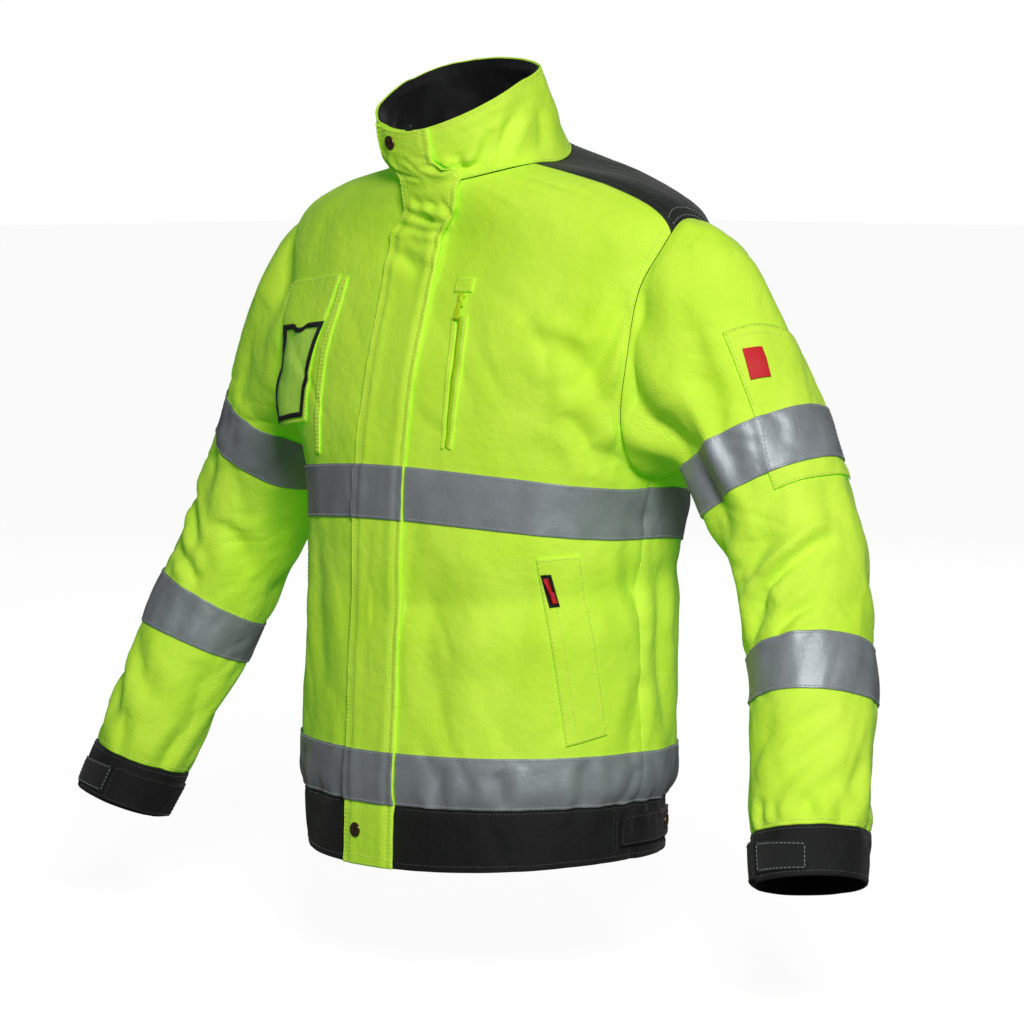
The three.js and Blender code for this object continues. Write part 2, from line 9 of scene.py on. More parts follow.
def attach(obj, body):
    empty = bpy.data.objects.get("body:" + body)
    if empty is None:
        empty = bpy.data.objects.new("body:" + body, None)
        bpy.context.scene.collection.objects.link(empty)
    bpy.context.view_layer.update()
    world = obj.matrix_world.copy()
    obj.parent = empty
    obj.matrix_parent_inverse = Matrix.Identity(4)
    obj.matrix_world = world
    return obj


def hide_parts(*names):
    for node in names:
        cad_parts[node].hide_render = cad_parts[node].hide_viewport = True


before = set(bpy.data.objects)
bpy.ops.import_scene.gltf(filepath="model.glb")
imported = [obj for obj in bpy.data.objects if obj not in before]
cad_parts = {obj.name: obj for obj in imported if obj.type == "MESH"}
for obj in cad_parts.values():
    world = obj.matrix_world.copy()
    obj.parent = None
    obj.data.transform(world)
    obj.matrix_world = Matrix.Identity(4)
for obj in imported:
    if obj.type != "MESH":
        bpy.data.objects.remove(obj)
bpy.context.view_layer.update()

# Fronts and back: padded polyester oxford in fluorescent yellow, cut as two fronts and one back.
# They are sewn together at the sides, with a wadding inside that makes their folds soft and round.
body_rings = dict(zip(
    ("at", "half", "front", "back", "side", "front_up", "back_up", "square", "bend"),
    np.array([
        (-641, 183, -155, 124, -3, -10, 9, 0.045, 2),
        (-590, 187, -154, 122, -2, -4, -3, 0.045, 2),
        (-570, 193, -154, 132, -1, -3, -2, 0.045, 2),
        (-540, 194, -152, 135, 0, -3, 0, 0.045, 2),
        (-440, 195, -146, 132, 0, 4, -6, 0.045, 2),
        (-344, 193, -141, 138, 0, 15, -22, 0.05, 2),
        (-296, 201, -137, 143, 0, 17, -25, 0.055, 2),
        (-190, 242, -123, 140, 2, 0, 0, 0.06, 2),
        (-115, 246, -104, 128, 4, -6, 4, 0.05, 2),
        (-50, 245, -91, 108, 5, -22, 8, 0.03, 2),
        (-16, 175, -92, 84, -2, -26, 16, 0.02, 2),
        (0, 85, -95, 60, -10, -22, 26, 0.04, 2),
    ]).T))
hem_level, waist_seam, hem_tape_top = -641, -588, -540
chest_tape_low, chest_tape_top = -344, -296
shoulder_tip, underarm, side_seam, armhole_reach = -50, -280, 91, 28
shell_wall, half_seam = 2.4, 0.04
zip_half, flap_left, flap_right = 5, 25, -41
degree_on_body, narrowest_sheet = 3.1, 10


def column(table, name, at):
    """One column of a table at any place: a cubic between two rows, whose slope at a row is that of
    the line between the row's neighbours."""
    keys, values = table["at"], table[name]
    last = len(keys) - 1
    row = np.arange(last + 1)
    before, after = np.maximum(row - 1, 0), np.minimum(row + 1, last)
    slope = (values[after] - values[before]) / (keys[after] - keys[before])
    i = np.clip(np.searchsorted(keys, at, side="right") - 1, 0, last - 1)
    span = keys[i + 1] - keys[i]
    t = np.clip((at - keys[i]) / span, 0, 1)
    return ((2 * t**3 - 3 * t**2 + 1) * values[i] + (t**3 - 2 * t**2 + t) * span * slope[i]
            + (3 * t**2 - 2 * t**3) * values[i + 1] + (t**3 - t**2) * span * slope[i + 1])


def ring_place(rings, turn, at, height):
    """A point of a ring: an oval with its own depth in front and behind, whose corners are filled by
    the square of the sine of twice the turn, and which is lifted by a power of the turn's cosine."""
    sine, cosine = np.sin(np.radians(turn)), np.cos(np.radians(turn))
    full = 1 + column(rings, "square", at) * (2 * sine * cosine) ** 2
    side = column(rings, "side", at)
    end = np.where(cosine > 0, column(rings, "front", at), column(rings, "back", at))
    lift = np.where(cosine > 0, column(rings, "front_up", at), column(rings, "back_up", at))
    return np.stack([
        column(rings, "half", at) * sine * full,
        side + (end - side) * np.abs(cosine) * full,
        height + lift * np.abs(cosine) ** column(rings, "bend", at),
    ], axis=-1)


def soft_noise(across, along, seed):
    """Smooth random heights from -1 to 1: random values at whole numbers, joined by smooth steps."""
    values = np.random.default_rng(seed).uniform(-1, 1, (64, 64))
    i, j = np.floor(across).astype(int), np.floor(along).astype(int)
    s, t = across - i, along - j
    s, t = s * s * (3 - 2 * s), t * t * (3 - 2 * t)
    corner = lambda a, b: values[(i + a) % 64, (j + b) % 64]
    low = corner(0, 0) * (1 - s) + corner(1, 0) * s
    top = corner(0, 1) * (1 - s) + corner(1, 1) * s
    return low * (1 - t) + top * t


def smooth(value):
    """A soft step from 0 to 1 as the value goes from 0 to 1."""
    share = np.clip(value, 0, 1)
    return share * share * (3 - 2 * share)


def folds(turn, at, arc, table):
    """Troughs and ridges: each runs on a bowed line between two places and fades towards both ends.
    Across, its height falls as one over one plus the squared distance in widths, between two low
    shoulders of the other sign."""
    height = np.zeros(np.broadcast(turn, at).shape)
    for turn_from, at_from, turn_to, at_to, bow, width, rise in table:
        across = (turn - turn_from + 180) % 360 - 180
        x, y = across * arc, at - at_from
        dx, dy = (turn_to - turn_from) * arc, at_to - at_from
        length = math.hypot(dx, dy)
        share = (x * dx + y * dy) / length**2
        fade = np.clip(1 - (2 * share - 1) ** 2, 0, 1) ** 0.7
        off = np.abs((x * dy - y * dx) / length - bow * fade) / width
        height += rise * fade * (1 / (1 + off**2) - 0.45 * np.exp(-((off - 2.4) / 1.3) ** 2))
    return height


def armhole_place(turn):
    """The armhole's rounded loop on the body, from its top (0) by its front (90)."""
    sine, cosine = np.sin(np.radians(turn)), np.cos(np.radians(turn))
    rounded = lambda value: np.sign(value) * np.abs(value) ** 0.88
    middle, reach = (shoulder_tip + underarm) / 2, (shoulder_tip - underarm) / 2
    return side_seam - armhole_reach * rounded(sine), middle + reach * rounded(cosine)


def armhole_distance(turn, at):
    """How far a place on the body lies outside the armhole's loop, in mm."""
    across = np.abs((turn - side_seam) / armhole_reach)
    up = np.abs((at - (shoulder_tip + underarm) / 2) * 2 / (shoulder_tip - underarm))
    return ((across**2.273 + up**2.273) ** 0.44 - 1) * 95


def line_distance(turn, at, start, end):
    """Distance in mm on the body from the straight seam between two places."""
    x, y = (turn - start[0]) * degree_on_body, at - start[1]
    dx, dy = (end[0] - start[0]) * degree_on_body, end[1] - start[1]
    share = np.clip((x * dx + y * dy) / (dx * dx + dy * dy), 0, 1)
    return np.hypot(x - share * dx, y - share * dy)


def sewn(distance, along, dip, pucker, step, seed):
    """The draw of a row of sewing: a soft dip, and uneven puckers that fade away from it."""
    wave = soft_noise(along / step, distance / (4 * step), seed)
    return -dip * np.exp(-((distance / 6) ** 2)) + pucker * wave * np.exp(-distance / (1.6 * step))


yoke_front = (armhole_place(28), (77, 0))
yoke_back = (armhole_place(-50), (158, 0))
# Columns: turn and level of the start, turn and level of the end, bow, width and height in mm.
body_folds = [
    (68, -120, 66, -215, 6, 7, -5.5), (60, -112, 46, -210, -10, 9, -6),
    (62, -250, 38, -150, 12, 11, -6), (64, -283, 48, -228, 6, 8, -6), (89, -292, 60, -262, 5, 8, -4),
    (52, -60, 34, -160, 8, 18, -3), (52, -168, 33, -140, 4, 7, 3.5),
    (17, -365, 23, -520, 10, 12, -3.5), (30, -360, 28, -470, -8, 16, 3),
    (45, -352, 38, -530, -9, 13, -3.5), (58, -350, 52, -430, 6, 10, -2.5),
    (79, -350, 94, -440, -6, 9, -4.5), (106, -366, 107, -530, 8, 13, -5),
    (96, -460, 84, -560, 8, 10, -3.5), (66, -545, 70, -586, 3, 7, -3),
    (40, -552, 43, -586, 2, 7, -3.5), (24, -548, 21, -587, 2, 6, -3), (88, -552, 84, -588, 2, 7, -3.5),
    (12, -352, 9, -420, 3, 7, -2), (-4, -110, -2, -240, 4, 8, -1.6), (3, -400, 5, -520, -3, 7, -1.6),
    (-58, -118, -45, -220, 8, 11, -4), (-70, -130, -67, -230, -5, 7, -4),
    (-63, -256, -40, -160, -12, 13, -4), (-88, -290, -62, -258, -5, 8, -4),
    (-32, -352, -24, -500, 8, 12, -3.5), (-50, -350, -56, -520, -10, 13, -4),
    (-80, -352, -92, -450, 6, 10, -4.5), (-104, -362, -100, -540, 8, 13, -5),
    (-38, -550, -42, -587, 2, 7, -3), (-70, -548, -66, -588, 2, 7, -3.5),
    (118, -250, 150, -200, -14, 15, -5), (112, -286, 148, -262, 10, 11, -4.5),
    (124, -70, 150, -190, 18, 16, -4), (-120, -246, -152, -206, 12, 14, -5),
    (-113, -288, -140, -258, -8, 11, -4.5), (-126, -74, -148, -176, -16, 15, -4),
    (172, -60, 168, -190, 10, 20, -3), (-168, -90, -174, -210, -8, 16, 3),
    (150, -352, 138, -520, 10, 14, -4.5), (176, -350, -176, -470, -8, 15, -4),
    (-150, -356, -142, -530, -12, 14, -4.5), (128, -360, 118, -450, 6, 10, -3.5),
    (-124, -352, -116, -470, 8, 11, -4), (165, -470, 172, -585, 7, 11, -4),
    (-160, -480, -168, -586, 7, 11, -4), (132, -548, 135, -587, 2, 7, -3.5),
    (-134, -550, -130, -588, 2, 7, -3.5),
]
# The storm flap's own crumples, where it turns in over the neck.
flap_folds = [
    (-7, -4, 12, -14, 3, 3, -3.4), (-7, -16, 11, -31, 4, 3.4, -3.4), (-6, -33, 8, -40, 3, 3.4, -2.8),
    (0, -6, 6, -30, -2, 3, 2.4), (11, -8, 13, -46, 2, 3.4, -3.4), (-12, -54, 3, -104, -3, 6, -2.6),
    (-6, -66, 8, -92, 2, 6, -2),
]


def flap_shift(at, on_collar):
    """How far the flap swerves to the wearer's left where it passes over the neck seam, in mm."""
    return 20 * smooth((0.42 - at) / 0.3 if on_collar else (at + 50) / 36)


def body_relief(turn, at):
    """Folds, seams and unevenness of the body's cloth, in mm out from its form."""
    signed = (turn + 180) % 360 - 180
    side = np.abs(signed)
    across = signed * degree_on_body
    x = ring_place(body_rings, turn, at, at)[..., 0]
    front = side < 90
    height = (3.2 * soft_noise(across / 95 + 20, at / 140, 3)
              + 1.3 * soft_noise(across / 40 + 20, at / 52, 4)
              + 0.45 * soft_noise(across / 15 + 20, at / 19, 5))
    height = height + folds(signed, at, degree_on_body, body_folds)
    drape = soft_noise(across / 40 + at / 70 + 30, at / 120 - across / 160 + 20, 16)
    height -= (1.5 * np.clip(0.4 - np.abs(drape), 0, 1) / 0.4
               * smooth(soft_noise(across / 80 + 9, at / 90, 17) + 0.5))
    below = at < underarm
    height += sewn(np.where(below, np.abs(side - side_seam) * degree_on_body, 99), at, 1.8, 1.2, 13, 6)
    for level, dip, pucker, step, seed in (
            (waist_seam, 1.6, 1.9, 12, 7), (hem_tape_top, 0.5, 1.2, 14, 8),
            (chest_tape_low, 0.5, 1.1, 17, 9), (chest_tape_top, 0.5, 0.9, 19, 10)):
        height += sewn(np.abs(at - level), across, dip, pucker, step, seed)
    for seam, seed in ((yoke_front, 11), (yoke_back, 12)):
        height += sewn(line_distance(side, at, *seam), side * 3, 1.6, 0.9, 14, seed)
    armhole = armhole_distance(side, at)
    height += sewn(np.abs(armhole), at, 0.8, 1.3, 15, 13)
    x = x - flap_shift(at, False)
    flap = front & (x < flap_left) & (x > flap_right)
    inset = np.minimum(flap_left - x, x - flap_right)
    quilted = (0.9 * np.exp(-((inset - 13) / 6) ** 2) - 0.9 * np.exp(-((inset - 7) / 2.2) ** 2)
               + 0.5 * soft_noise(at / 11, inset / 9, 14) * np.exp(-inset / 12))
    crumple = smooth((at + 80) / 50) * 2.2 * soft_noise(x / 12 + at / 16, at / 13 - x / 40, 15)
    flap_height = 0.45 * height + quilted + crumple + folds(signed, at, degree_on_body, flap_folds)
    height = np.where(flap, flap_height, height)
    height *= smooth(np.abs(armhole) / 11)
    return height * smooth(-at / 14)


class Form:
    """A surface of the jacket in mm. place gives the point for a turn and a place along it, and
    relief how far its folds stand out. mirror is -1 on the wearer's right sleeve."""

    def __init__(self, place, relief, span, change=lambda point: point, mirror=1):
        self.place, self.relief, self.span = place, relief, span
        self.change, self.mirror = change, mirror

    def normal(self, turn, at):
        """The outward direction, from small steps round and along the surface."""
        low, high = self.span(at)
        across = self.place(turn + 0.5, at) - self.place(turn - 0.5, at)
        direction = np.cross(across, self.place(turn, high) - self.place(turn, low))
        return direction / np.linalg.norm(direction, axis=-1, keepdims=True)

    def surface(self, turn, at):
        """Points on the folded surface, and their outward directions."""
        turn, at = np.broadcast_arrays(np.asarray(turn, float), np.asarray(at, float))
        direction = self.normal(turn, at)
        point = self.place(turn, at) + direction * self.relief(turn, at)[..., None]
        return self.change(point), direction * np.array([self.mirror, 1, 1])


body = Form(lambda turn, at: ring_place(body_rings, turn, at, at), body_relief,
            lambda at: (np.maximum(at - 1, hem_level), np.minimum(at + 1, 0)))


def body_turn(x, at):
    """The turn on the body at a distance from the centre front."""
    return np.degrees(np.arcsin(x / column(body_rings, "half", at)))


def shares(count, length):
    """Even steps from 0 to 1, with closer ones near both ends, where a cloth's edge is rounded."""
    near = np.array([0, 0.6, 1.4, 2.8]) / length
    return np.concatenate([near, np.linspace(5 / length, 1 - 5 / length, count), 1 - near[::-1]])


def steps_on(line, step):
    """Distances along a line of points, for each row of points."""
    lengths = np.linalg.norm(np.diff(line, axis=step), axis=-1)
    first = np.zeros_like(np.take(lengths, [0], axis=step))
    return np.concatenate([first, np.cumsum(lengths, axis=step)], axis=step)

def smooth_mesh(name, points, faces):
    """A smoothly shaded mesh from points in mm and its faces."""
    mesh = bpy.data.meshes.new(name)
    mesh.from_pydata(points * 0.001, [], faces)
    mesh.polygons.foreach_set("use_smooth", np.ones(len(mesh.polygons), bool))
    mesh.update()
    return mesh


def grid_mesh(name, outer, inner, closed):
    """A closed wall between two grids of points in mm, with a UV map of its cloth in metres."""
    rows, columns = outer.shape[:2]
    wrap = columns if closed else columns - 1
    ring = np.concatenate([outer, outer[:, :1]], axis=1) if closed else outer
    width, length = steps_on(ring, 1), steps_on(ring, 0)
    index = lambda layer, row, col: (layer * rows + row) * columns + col % columns
    row, col = np.meshgrid(np.arange(rows - 1), np.arange(wrap), indexing="ij")
    row, col = row.ravel(), col.ravel()
    edge, side = np.arange(wrap), np.arange(rows - 1)
    top, end = rows - 1, columns - 1
    cells = [
        [(0, row, col), (0, row, col + 1), (0, row + 1, col + 1), (0, row + 1, col)],
        [(1, row, col), (1, row + 1, col), (1, row + 1, col + 1), (1, row, col + 1)],
        [(0, 0 * edge, edge), (1, 0 * edge, edge), (1, 0 * edge, edge + 1), (0, 0 * edge, edge + 1)],
        [(0, top + 0 * edge, edge + 1), (1, top + 0 * edge, edge + 1),
         (1, top + 0 * edge, edge), (0, top + 0 * edge, edge)],
    ]
    if not closed:
        cells += [
            [(0, side + 1, 0 * side), (1, side + 1, 0 * side), (1, side, 0 * side), (0, side, 0 * side)],
            [(0, side, end + 0 * side), (1, side, end + 0 * side),
             (1, side + 1, end + 0 * side), (0, side + 1, end + 0 * side)],
        ]
    faces = np.concatenate([np.stack([index(*corner) for corner in cell], axis=1) for cell in cells])
    corners = np.concatenate([
        np.stack([np.stack([width[r, c], length[r, c]], axis=-1) for _, r, c in cell], axis=1)
        for cell in cells])
    points = np.concatenate([outer.reshape(-1, 3), inner.reshape(-1, 3)])
    a, b, c, d = (points[faces[:, k]] for k in range(4))
    volume = np.sum(a * np.cross(b, c)) + np.sum(a * np.cross(c, d))
    if volume < 0:
        faces, corners = faces[:, ::-1], corners[:, ::-1]
    mesh = smooth_mesh(name, points, faces)
    layer = mesh.uv_layers.new(name="cloth")
    layer.data.foreach_set("uv", (corners * 0.001).astype(np.float32).ravel())
    return mesh


def in_scene(name, data):
    """An object of the scene with its mesh, light or camera."""
    thing = bpy.data.objects.new(name, data)
    bpy.context.scene.collection.objects.link(thing)
    return thing


def show(name, mesh, material, slot, body_name="jacket", stands_for=()):
    """Put a mesh in the scene as one piece of the jacket."""
    piece = in_scene(name, mesh)
    mesh.materials.append(material)
    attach(piece, body_name)
    if stands_for:
        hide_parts(*stands_for)
    return piece


def cloth(name, blocks, low, high, material, slot, on="", held=None, closed=False, edge=1.2, inside=None):
    """One cut and sewn piece, named as the node it stands for: the cloth between two offsets from one or more
    blocks of a surface, its thickness rounded off at its open edges. on would name the pieces that it is laid
    on, but is not used, and inside is the material of its inner face."""
    surfaces = [form.surface(turn, at) for form, turn, at in blocks]
    base = np.concatenate([points for points, _ in surfaces])
    out = np.concatenate([direction for _, direction in surfaces])
    inwards = lambda a, b: half_seam * (b - a) / np.linalg.norm(b - a, axis=-1, keepdims=True)
    base[0] += inwards(base[0], base[1])
    base[-1] += inwards(base[-1], base[-2])
    if not closed:
        base[:, 0] += inwards(base[:, 0], base[:, 1])
        base[:, -1] += inwards(base[:, -1], base[:, -2])
    along, across = steps_on(base, 0), steps_on(base, 1)
    distance = np.minimum(along, along[-1:] - along)
    if not closed:
        distance = np.minimum(distance, np.minimum(across, across[:, -1:] - across))
    round_off = 0.35 + 0.65 * np.sqrt(1 - (1 - np.clip(distance / edge, 0, 1)) ** 2)
    middle, half = (np.asarray(high) + low) / 2, (np.asarray(high) - low) / 2
    outer = base + out * (middle + half * round_off)[..., None]
    inner = base + out * (middle - half * round_off)[..., None]
    piece = show(name + "_cloth", grid_mesh(name, outer, inner, closed), material, slot, stands_for=[name])
    if inside:
        piece.data.materials.append(inside)
        faces = (base.shape[0] - 1) * (base.shape[1] - (0 if closed else 1))
        sides = np.repeat([0, 1, 0], [faces, faces, len(piece.data.polygons) - 2 * faces])
        piece.data.polygons.foreach_set("material_index", sides.astype(np.int32))
    return piece


def linear(colour):
    """A hex sRGB colour as linear red, green, blue and alpha."""
    parts = np.array([int(colour[i:i + 2], 16) for i in (1, 3, 5)]) / 255
    value = np.where(parts <= 0.04045, parts / 12.92, ((parts + 0.055) / 1.055) ** 2.4)
    return (*value, 1)


def add_node(material, kind, inputs=(), stops=(), **settings):
    """Add a node to a material. settings are its own options, inputs pairs of an input's name or number
    and its value, or the output that feeds it, and stops places and hex colours of a colour ramp."""
    tree = material.node_tree
    node = tree.nodes.new(kind)
    for key, value in settings.items():
        setattr(node, key, value)
    for number, (position, colour) in enumerate(stops):
        ramp = node.color_ramp.elements
        stop = ramp[number] if number < 2 else ramp.new(position)
        stop.position, stop.color = position, linear(colour)
    for key, value in dict(inputs).items():
        if isinstance(value, bpy.types.NodeSocket):
            tree.links.new(value, node.inputs[key])
        else:
            node.inputs[key].default_value = value
    return node


def new_material(name, **values):
    """A material with its shader's plain values set on the shader's own sockets."""
    material = bpy.data.materials.new(name)
    material.use_nodes = True
    shader = material.node_tree.nodes["Principled BSDF"]
    for key, value in values.items():
        shader.inputs[key.replace("_", " ")].default_value = value
    return material, shader, add_node(material, "ShaderNodeTexCoord").outputs


def feed(shader, name, output):
    """Join an output to one of the shader's sockets."""
    shader.id_data.links.new(output, shader.inputs[name])


def oxford(name, colour, light, dark, thread, weave, crinkle, **values):
    """Woven polyester oxford. Its threads are the product of two sine waves along the cloth's own directions,
    and its tone and small creases are uneven patches of noise. The low places between its threads are painted
    a little darker, as painted shade."""
    material, shader, place = new_material(name, **values)
    parts = add_node(material, "ShaderNodeSeparateXYZ", {0: place["UV"]})
    waves = []
    for axis in (0, 1):
        phase = add_node(material, "ShaderNodeMath", {0: parts.outputs[axis], 1: 2 * math.pi / thread},
                         operation="MULTIPLY")
        waves.append(add_node(material, "ShaderNodeMath", {0: phase.outputs[0]}, operation="SINE"))
    threads = add_node(material, "ShaderNodeMath", {0: waves[0].outputs[0], 1: waves[1].outputs[0]},
                       operation="MULTIPLY")
    creases = add_node(material, "ShaderNodeTexNoise",
                       {"Vector": place["Object"], "Scale": 95, "Detail": 5, "Roughness": 0.6})
    patches = add_node(material, "ShaderNodeTexNoise",
                       {"Vector": place["Object"], "Scale": 9, "Detail": 6, "Roughness": 0.62})
    tone = add_node(material, "ShaderNodeValToRGB", {0: patches.outputs["Fac"]},
                    stops=((0.3, dark), (0.7, light), (0.5, colour)))
    # The low places between threads are mixed towards the dark colour: painted shade in the weave.
    painted_gap_shade = add_node(material, "ShaderNodeMapRange", {0: threads.outputs[0], 1: -1, 2: 1, 3: 0.22, 4: 0})
    shaded = add_node(material, "ShaderNodeMix", {
        "Factor": painted_gap_shade.outputs[0], "A": tone.outputs[0], "B": linear(dark)}, data_type="RGBA")
    feed(shader, "Base Color", shaded.outputs["Result"])
    soft = add_node(material, "ShaderNodeBump",
                    {"Height": creases.outputs["Fac"], "Strength": 1, "Distance": crinkle})
    fine = add_node(material, "ShaderNodeBump", {
        "Height": threads.outputs[0], "Strength": 0.5, "Distance": weave, "Normal": soft.outputs[0]})
    feed(shader, "Normal", fine.outputs[0])
    return material


# Fluorescent polyester oxford: a matt woven face with a slight sheen. A steady green glow is painted into it
# as emission, a painted glow that keeps its shadows bright and turns them green. Real threads are 0.5 mm
# apart and are drawn 2.4 mm apart.
lime = oxford("fluorescent_oxford_painted_glow", "#dbf64a", "#e3fb55", "#d0ef38", 0.0024, 0.0002, 0.0013,
              Roughness=0.7, Sheen_Weight=0.06, Sheen_Roughness=0.4, Specular_IOR_Level=0.25,
              Emission_Color=linear("#006000"), Emission_Strength=1), "lime_shell"

# The shell's inner faces show the black lining that is sewn in behind them: a smoother, plainer weave,
# drawn 1.4 mm apart, which reads as a soft dark hollow.
lining_cloth = oxford("black_lining_taffeta", "#101111", "#171918", "#0a0b0b", 0.0014, 0.0003, 0.0012,
                      Roughness=0.6, Specular_IOR_Level=0.35)
shell = -shell_wall, 0

side_levels = np.array([-588, -564, -540, -500, -460, -420, -382, -344, -320, -296, -280.0])
armhole_turns = np.array([180, 160, 140, 118, 98, 78, 64, 50, 40, 28.0])
yoke_steps = np.array([0, 0.35, 0.65, 0.83, 0.93, 1])


def side_edge(rows, corner, neck_turn, forward):
    """The side edge of a front or of half the back at numbered rows: up the side seam, round the
    armhole to the yoke's corner, then along the yoke's seam to the collar."""
    turns = armhole_turns[armhole_turns >= corner]
    last = 10 + len(turns) - 1
    turn, at = armhole_place(forward * np.interp(rows, np.arange(10, last + 1), turns))
    corner_turn, corner_at = armhole_place(forward * turns[-1])
    up = np.interp(rows, np.arange(last, last + 6), yoke_steps)
    at = np.where(rows <= 10, np.interp(rows, np.arange(11), side_levels), at)
    turn = np.where(rows <= 10, side_seam, turn)
    on_yoke = rows > last
    return (np.where(on_yoke, corner_turn + (neck_turn - corner_turn) * up, turn),
            np.where(on_yoke, corner_at * (1 - up), at), last + 5)


def centre_edge(rows, last):
    """The centre edge's levels at the same numbered rows."""
    levels = np.concatenate([side_levels[:10], np.linspace(-296, 0, last - 8)[1:]])
    return np.interp(rows, np.arange(last + 1), levels)


def even_rows(last, path, count):
    """Row numbers from 0 to the last, so that they are evenly spaced along a path of points in mm."""
    dense = np.linspace(0, last, 900)
    distance = steps_on(path(dense), 0)
    return np.interp(shares(count, distance[-1]) * distance[-1], distance, dense)


def panel_path(corner, neck_turn, forward):
    """Half way across a panel, in mm, for numbered rows."""
    def path(rows):
        turn, at, last = side_edge(rows, corner, neck_turn, forward)
        return np.stack([turn * degree_on_body / 2, (at + centre_edge(rows, last)) / 2], axis=-1)
    return path


def front_grid(side):
    """A front, ruled from the zip to its side edge. side is -1 for the wearer's right."""
    rows = even_rows(24, panel_path(28, 77, 1), 190)[:, None]
    turn, at, last = side_edge(rows, 28, 77, 1)
    centre = centre_edge(rows, last)
    start = body_turn(zip_half, centre)
    across = shares(92, 290)[None, :]
    return side * (start + (turn - start) * across), centre + (at - centre) * across


def back_grid():
    """The back, ruled from one side edge to the other by way of its centre."""
    rows = even_rows(22, panel_path(50, 158, -1), 156)[:, None]
    turn, at, last = side_edge(rows, 50, 158, -1)
    centre = centre_edge(rows, last)
    across = 2 * shares(128, 560)[None, :] - 1
    return 180 + (180 - turn) * across, centre + (at - centre) * across**2


for name, grid in (("front_left", front_grid(1)), ("front_right", front_grid(-1)), ("back", back_grid())):
    cloth(name, [(body, *grid)], *shell, *lime, edge=0.4, inside=lining_cloth)


def small_pieces(name, lines, pitch, half_size, height, material, slot, crosswise=False):
    """Many small pointed bars along lines on the jacket, such as stitches. Each line is a form, turns,
    places and a distance out. A bar is two points and two small diamonds between them, laid along the
    line, or across it for the coils of a zip. half_size is half its length and half its width."""
    diamond = ((-1, 0), (0, 1), (1, 0), (0, -0.6))
    shape = np.array([(-1, 0, -0.3), *((-0.6, y, z) for y, z in diamond),
                      *((0.6, y, z) for y, z in diamond), (1, 0, -0.3)])
    faces = []
    for k in range(4):
        following = (k + 1) % 4
        faces += [(0, 1 + following, 1 + k), (1 + k, 1 + following, 5 + following),
                  (1 + k, 5 + following, 5 + k), (9, 5 + k, 5 + following)]
    bars = []
    for form, turn, at, out in lines:
        points, direction = form.surface(turn, at)
        points = points + direction * np.reshape(out, (-1, 1))
        distance = steps_on(points, 0)
        places = np.arange(pitch / 2, distance[-1] - pitch / 3, pitch)
        along_line = lambda values: np.stack(
            [np.interp(places, distance, part) for part in values.T], axis=-1)
        centre, up = along_line(points), along_line(direction)
        along = along_line(np.gradient(points, axis=0))
        along /= np.linalg.norm(along, axis=-1, keepdims=True)
        side = np.cross(up, along)
        if crosswise:
            along, side = side, -along
        bars.append(centre[:, None] + shape[None, :, :1] * half_size[0] * along[:, None]
                    + shape[None, :, 1:2] * half_size[1] * side[:, None]
                    + shape[None, :, 2:] * height * up[:, None])
    points = np.concatenate(bars)
    corners = (np.arange(len(points))[:, None, None] * len(shape) + np.array(faces)[None]).reshape(-1, 3)
    return show(name, smooth_mesh(name, points.reshape(-1, 3), corners), material, slot)


def sew(name, lines, material, slot):
    """Rows of topstitching. Real stitches are 3 mm long and 0.4 mm thick; here they are thicker, so
    that they show."""
    return small_pieces(name, lines, 3.9, (1.6, 0.42), 0.4, material, slot)


def thread(name, colour):
    """Corespun polyester sewing thread, smooth with a slight lustre."""
    material, shader, place = new_material(name, Roughness=0.45, Sheen_Weight=0.3, Base_Color=linear(colour))
    twist = add_node(material, "ShaderNodeTexNoise", {"Vector": place["Object"], "Scale": 1500})
    bump = add_node(material, "ShaderNodeBump",
                    {"Height": twist.outputs["Fac"], "Strength": 0.6, "Distance": 0.0003})
    feed(shader, "Normal", bump.outputs[0])
    return material


lime_thread = thread("lime_sewing_thread", "#f0fc70"), "lime_shell"
steps = np.linspace(0, 1, 400)
between = lambda start, end: start + (end - start) * steps
on_cloth = 0.1


def armhole_line(side, start, end, distance):
    """A line beside the armhole, its loop made larger by a distance in mm."""
    turn, at = armhole_place(between(start, end))
    larger = 1 + distance / 95
    middle = (shoulder_tip + underarm) / 2
    return side * (side_seam + (turn - side_seam) * larger), middle + (at - middle) * larger


seam_lines = []
for side in (1, -1):
    for distance in (2, 8.5):
        seam_lines += [(body, *armhole_line(side, 172, 30, distance), on_cloth),
                       (body, *armhole_line(side, -172, -54, distance), on_cloth)]
    seam_lines.append((body, side * (side_seam + 0.8), between(-586, -284), on_cloth))
sew("shell_topstitching", seam_lines, *lime_thread)

# Shoulder yokes: charcoal oxford, one on each shoulder from the collar to the armhole, sewn over the
# fronts and the back with two rows of topstitching.
charcoal = oxford("charcoal_polyester_oxford", "#1d211e", "#242825", "#141715", 0.0014, 0.0003, 0.0012,
                  Roughness=0.75, Sheen_Weight=0.08, Sheen_Roughness=0.4,
                  Specular_IOR_Level=0.4), "charcoal_cloth"


def yoke_grid(side):
    """A yoke, ruled between its front and back seams, its outer end bulging along the armhole."""
    up = shares(44, 165)[:, None]
    across = shares(36, 110)[None, :]
    loop_turn = np.interp(across, np.linspace(0, 1, 7), (28, 14, 0, -14, -28, -40, -50))
    front, back = armhole_place(28), armhole_place(-50)
    seam = lambda corner, neck: (corner[0] + (neck - corner[0]) * up, corner[1] * (1 - up))
    front_turn, front_at = seam(front, 77)
    back_turn, back_at = seam(back, 158)
    loop = armhole_place(loop_turn)
    chord = [front[i] + (back[i] - front[i]) * across for i in (0, 1)]
    turn = front_turn + (back_turn - front_turn) * across + (loop[0] - chord[0]) * (1 - up)
    at = front_at + (back_at - front_at) * across + (loop[1] - chord[1]) * (1 - up)
    return side * turn, at


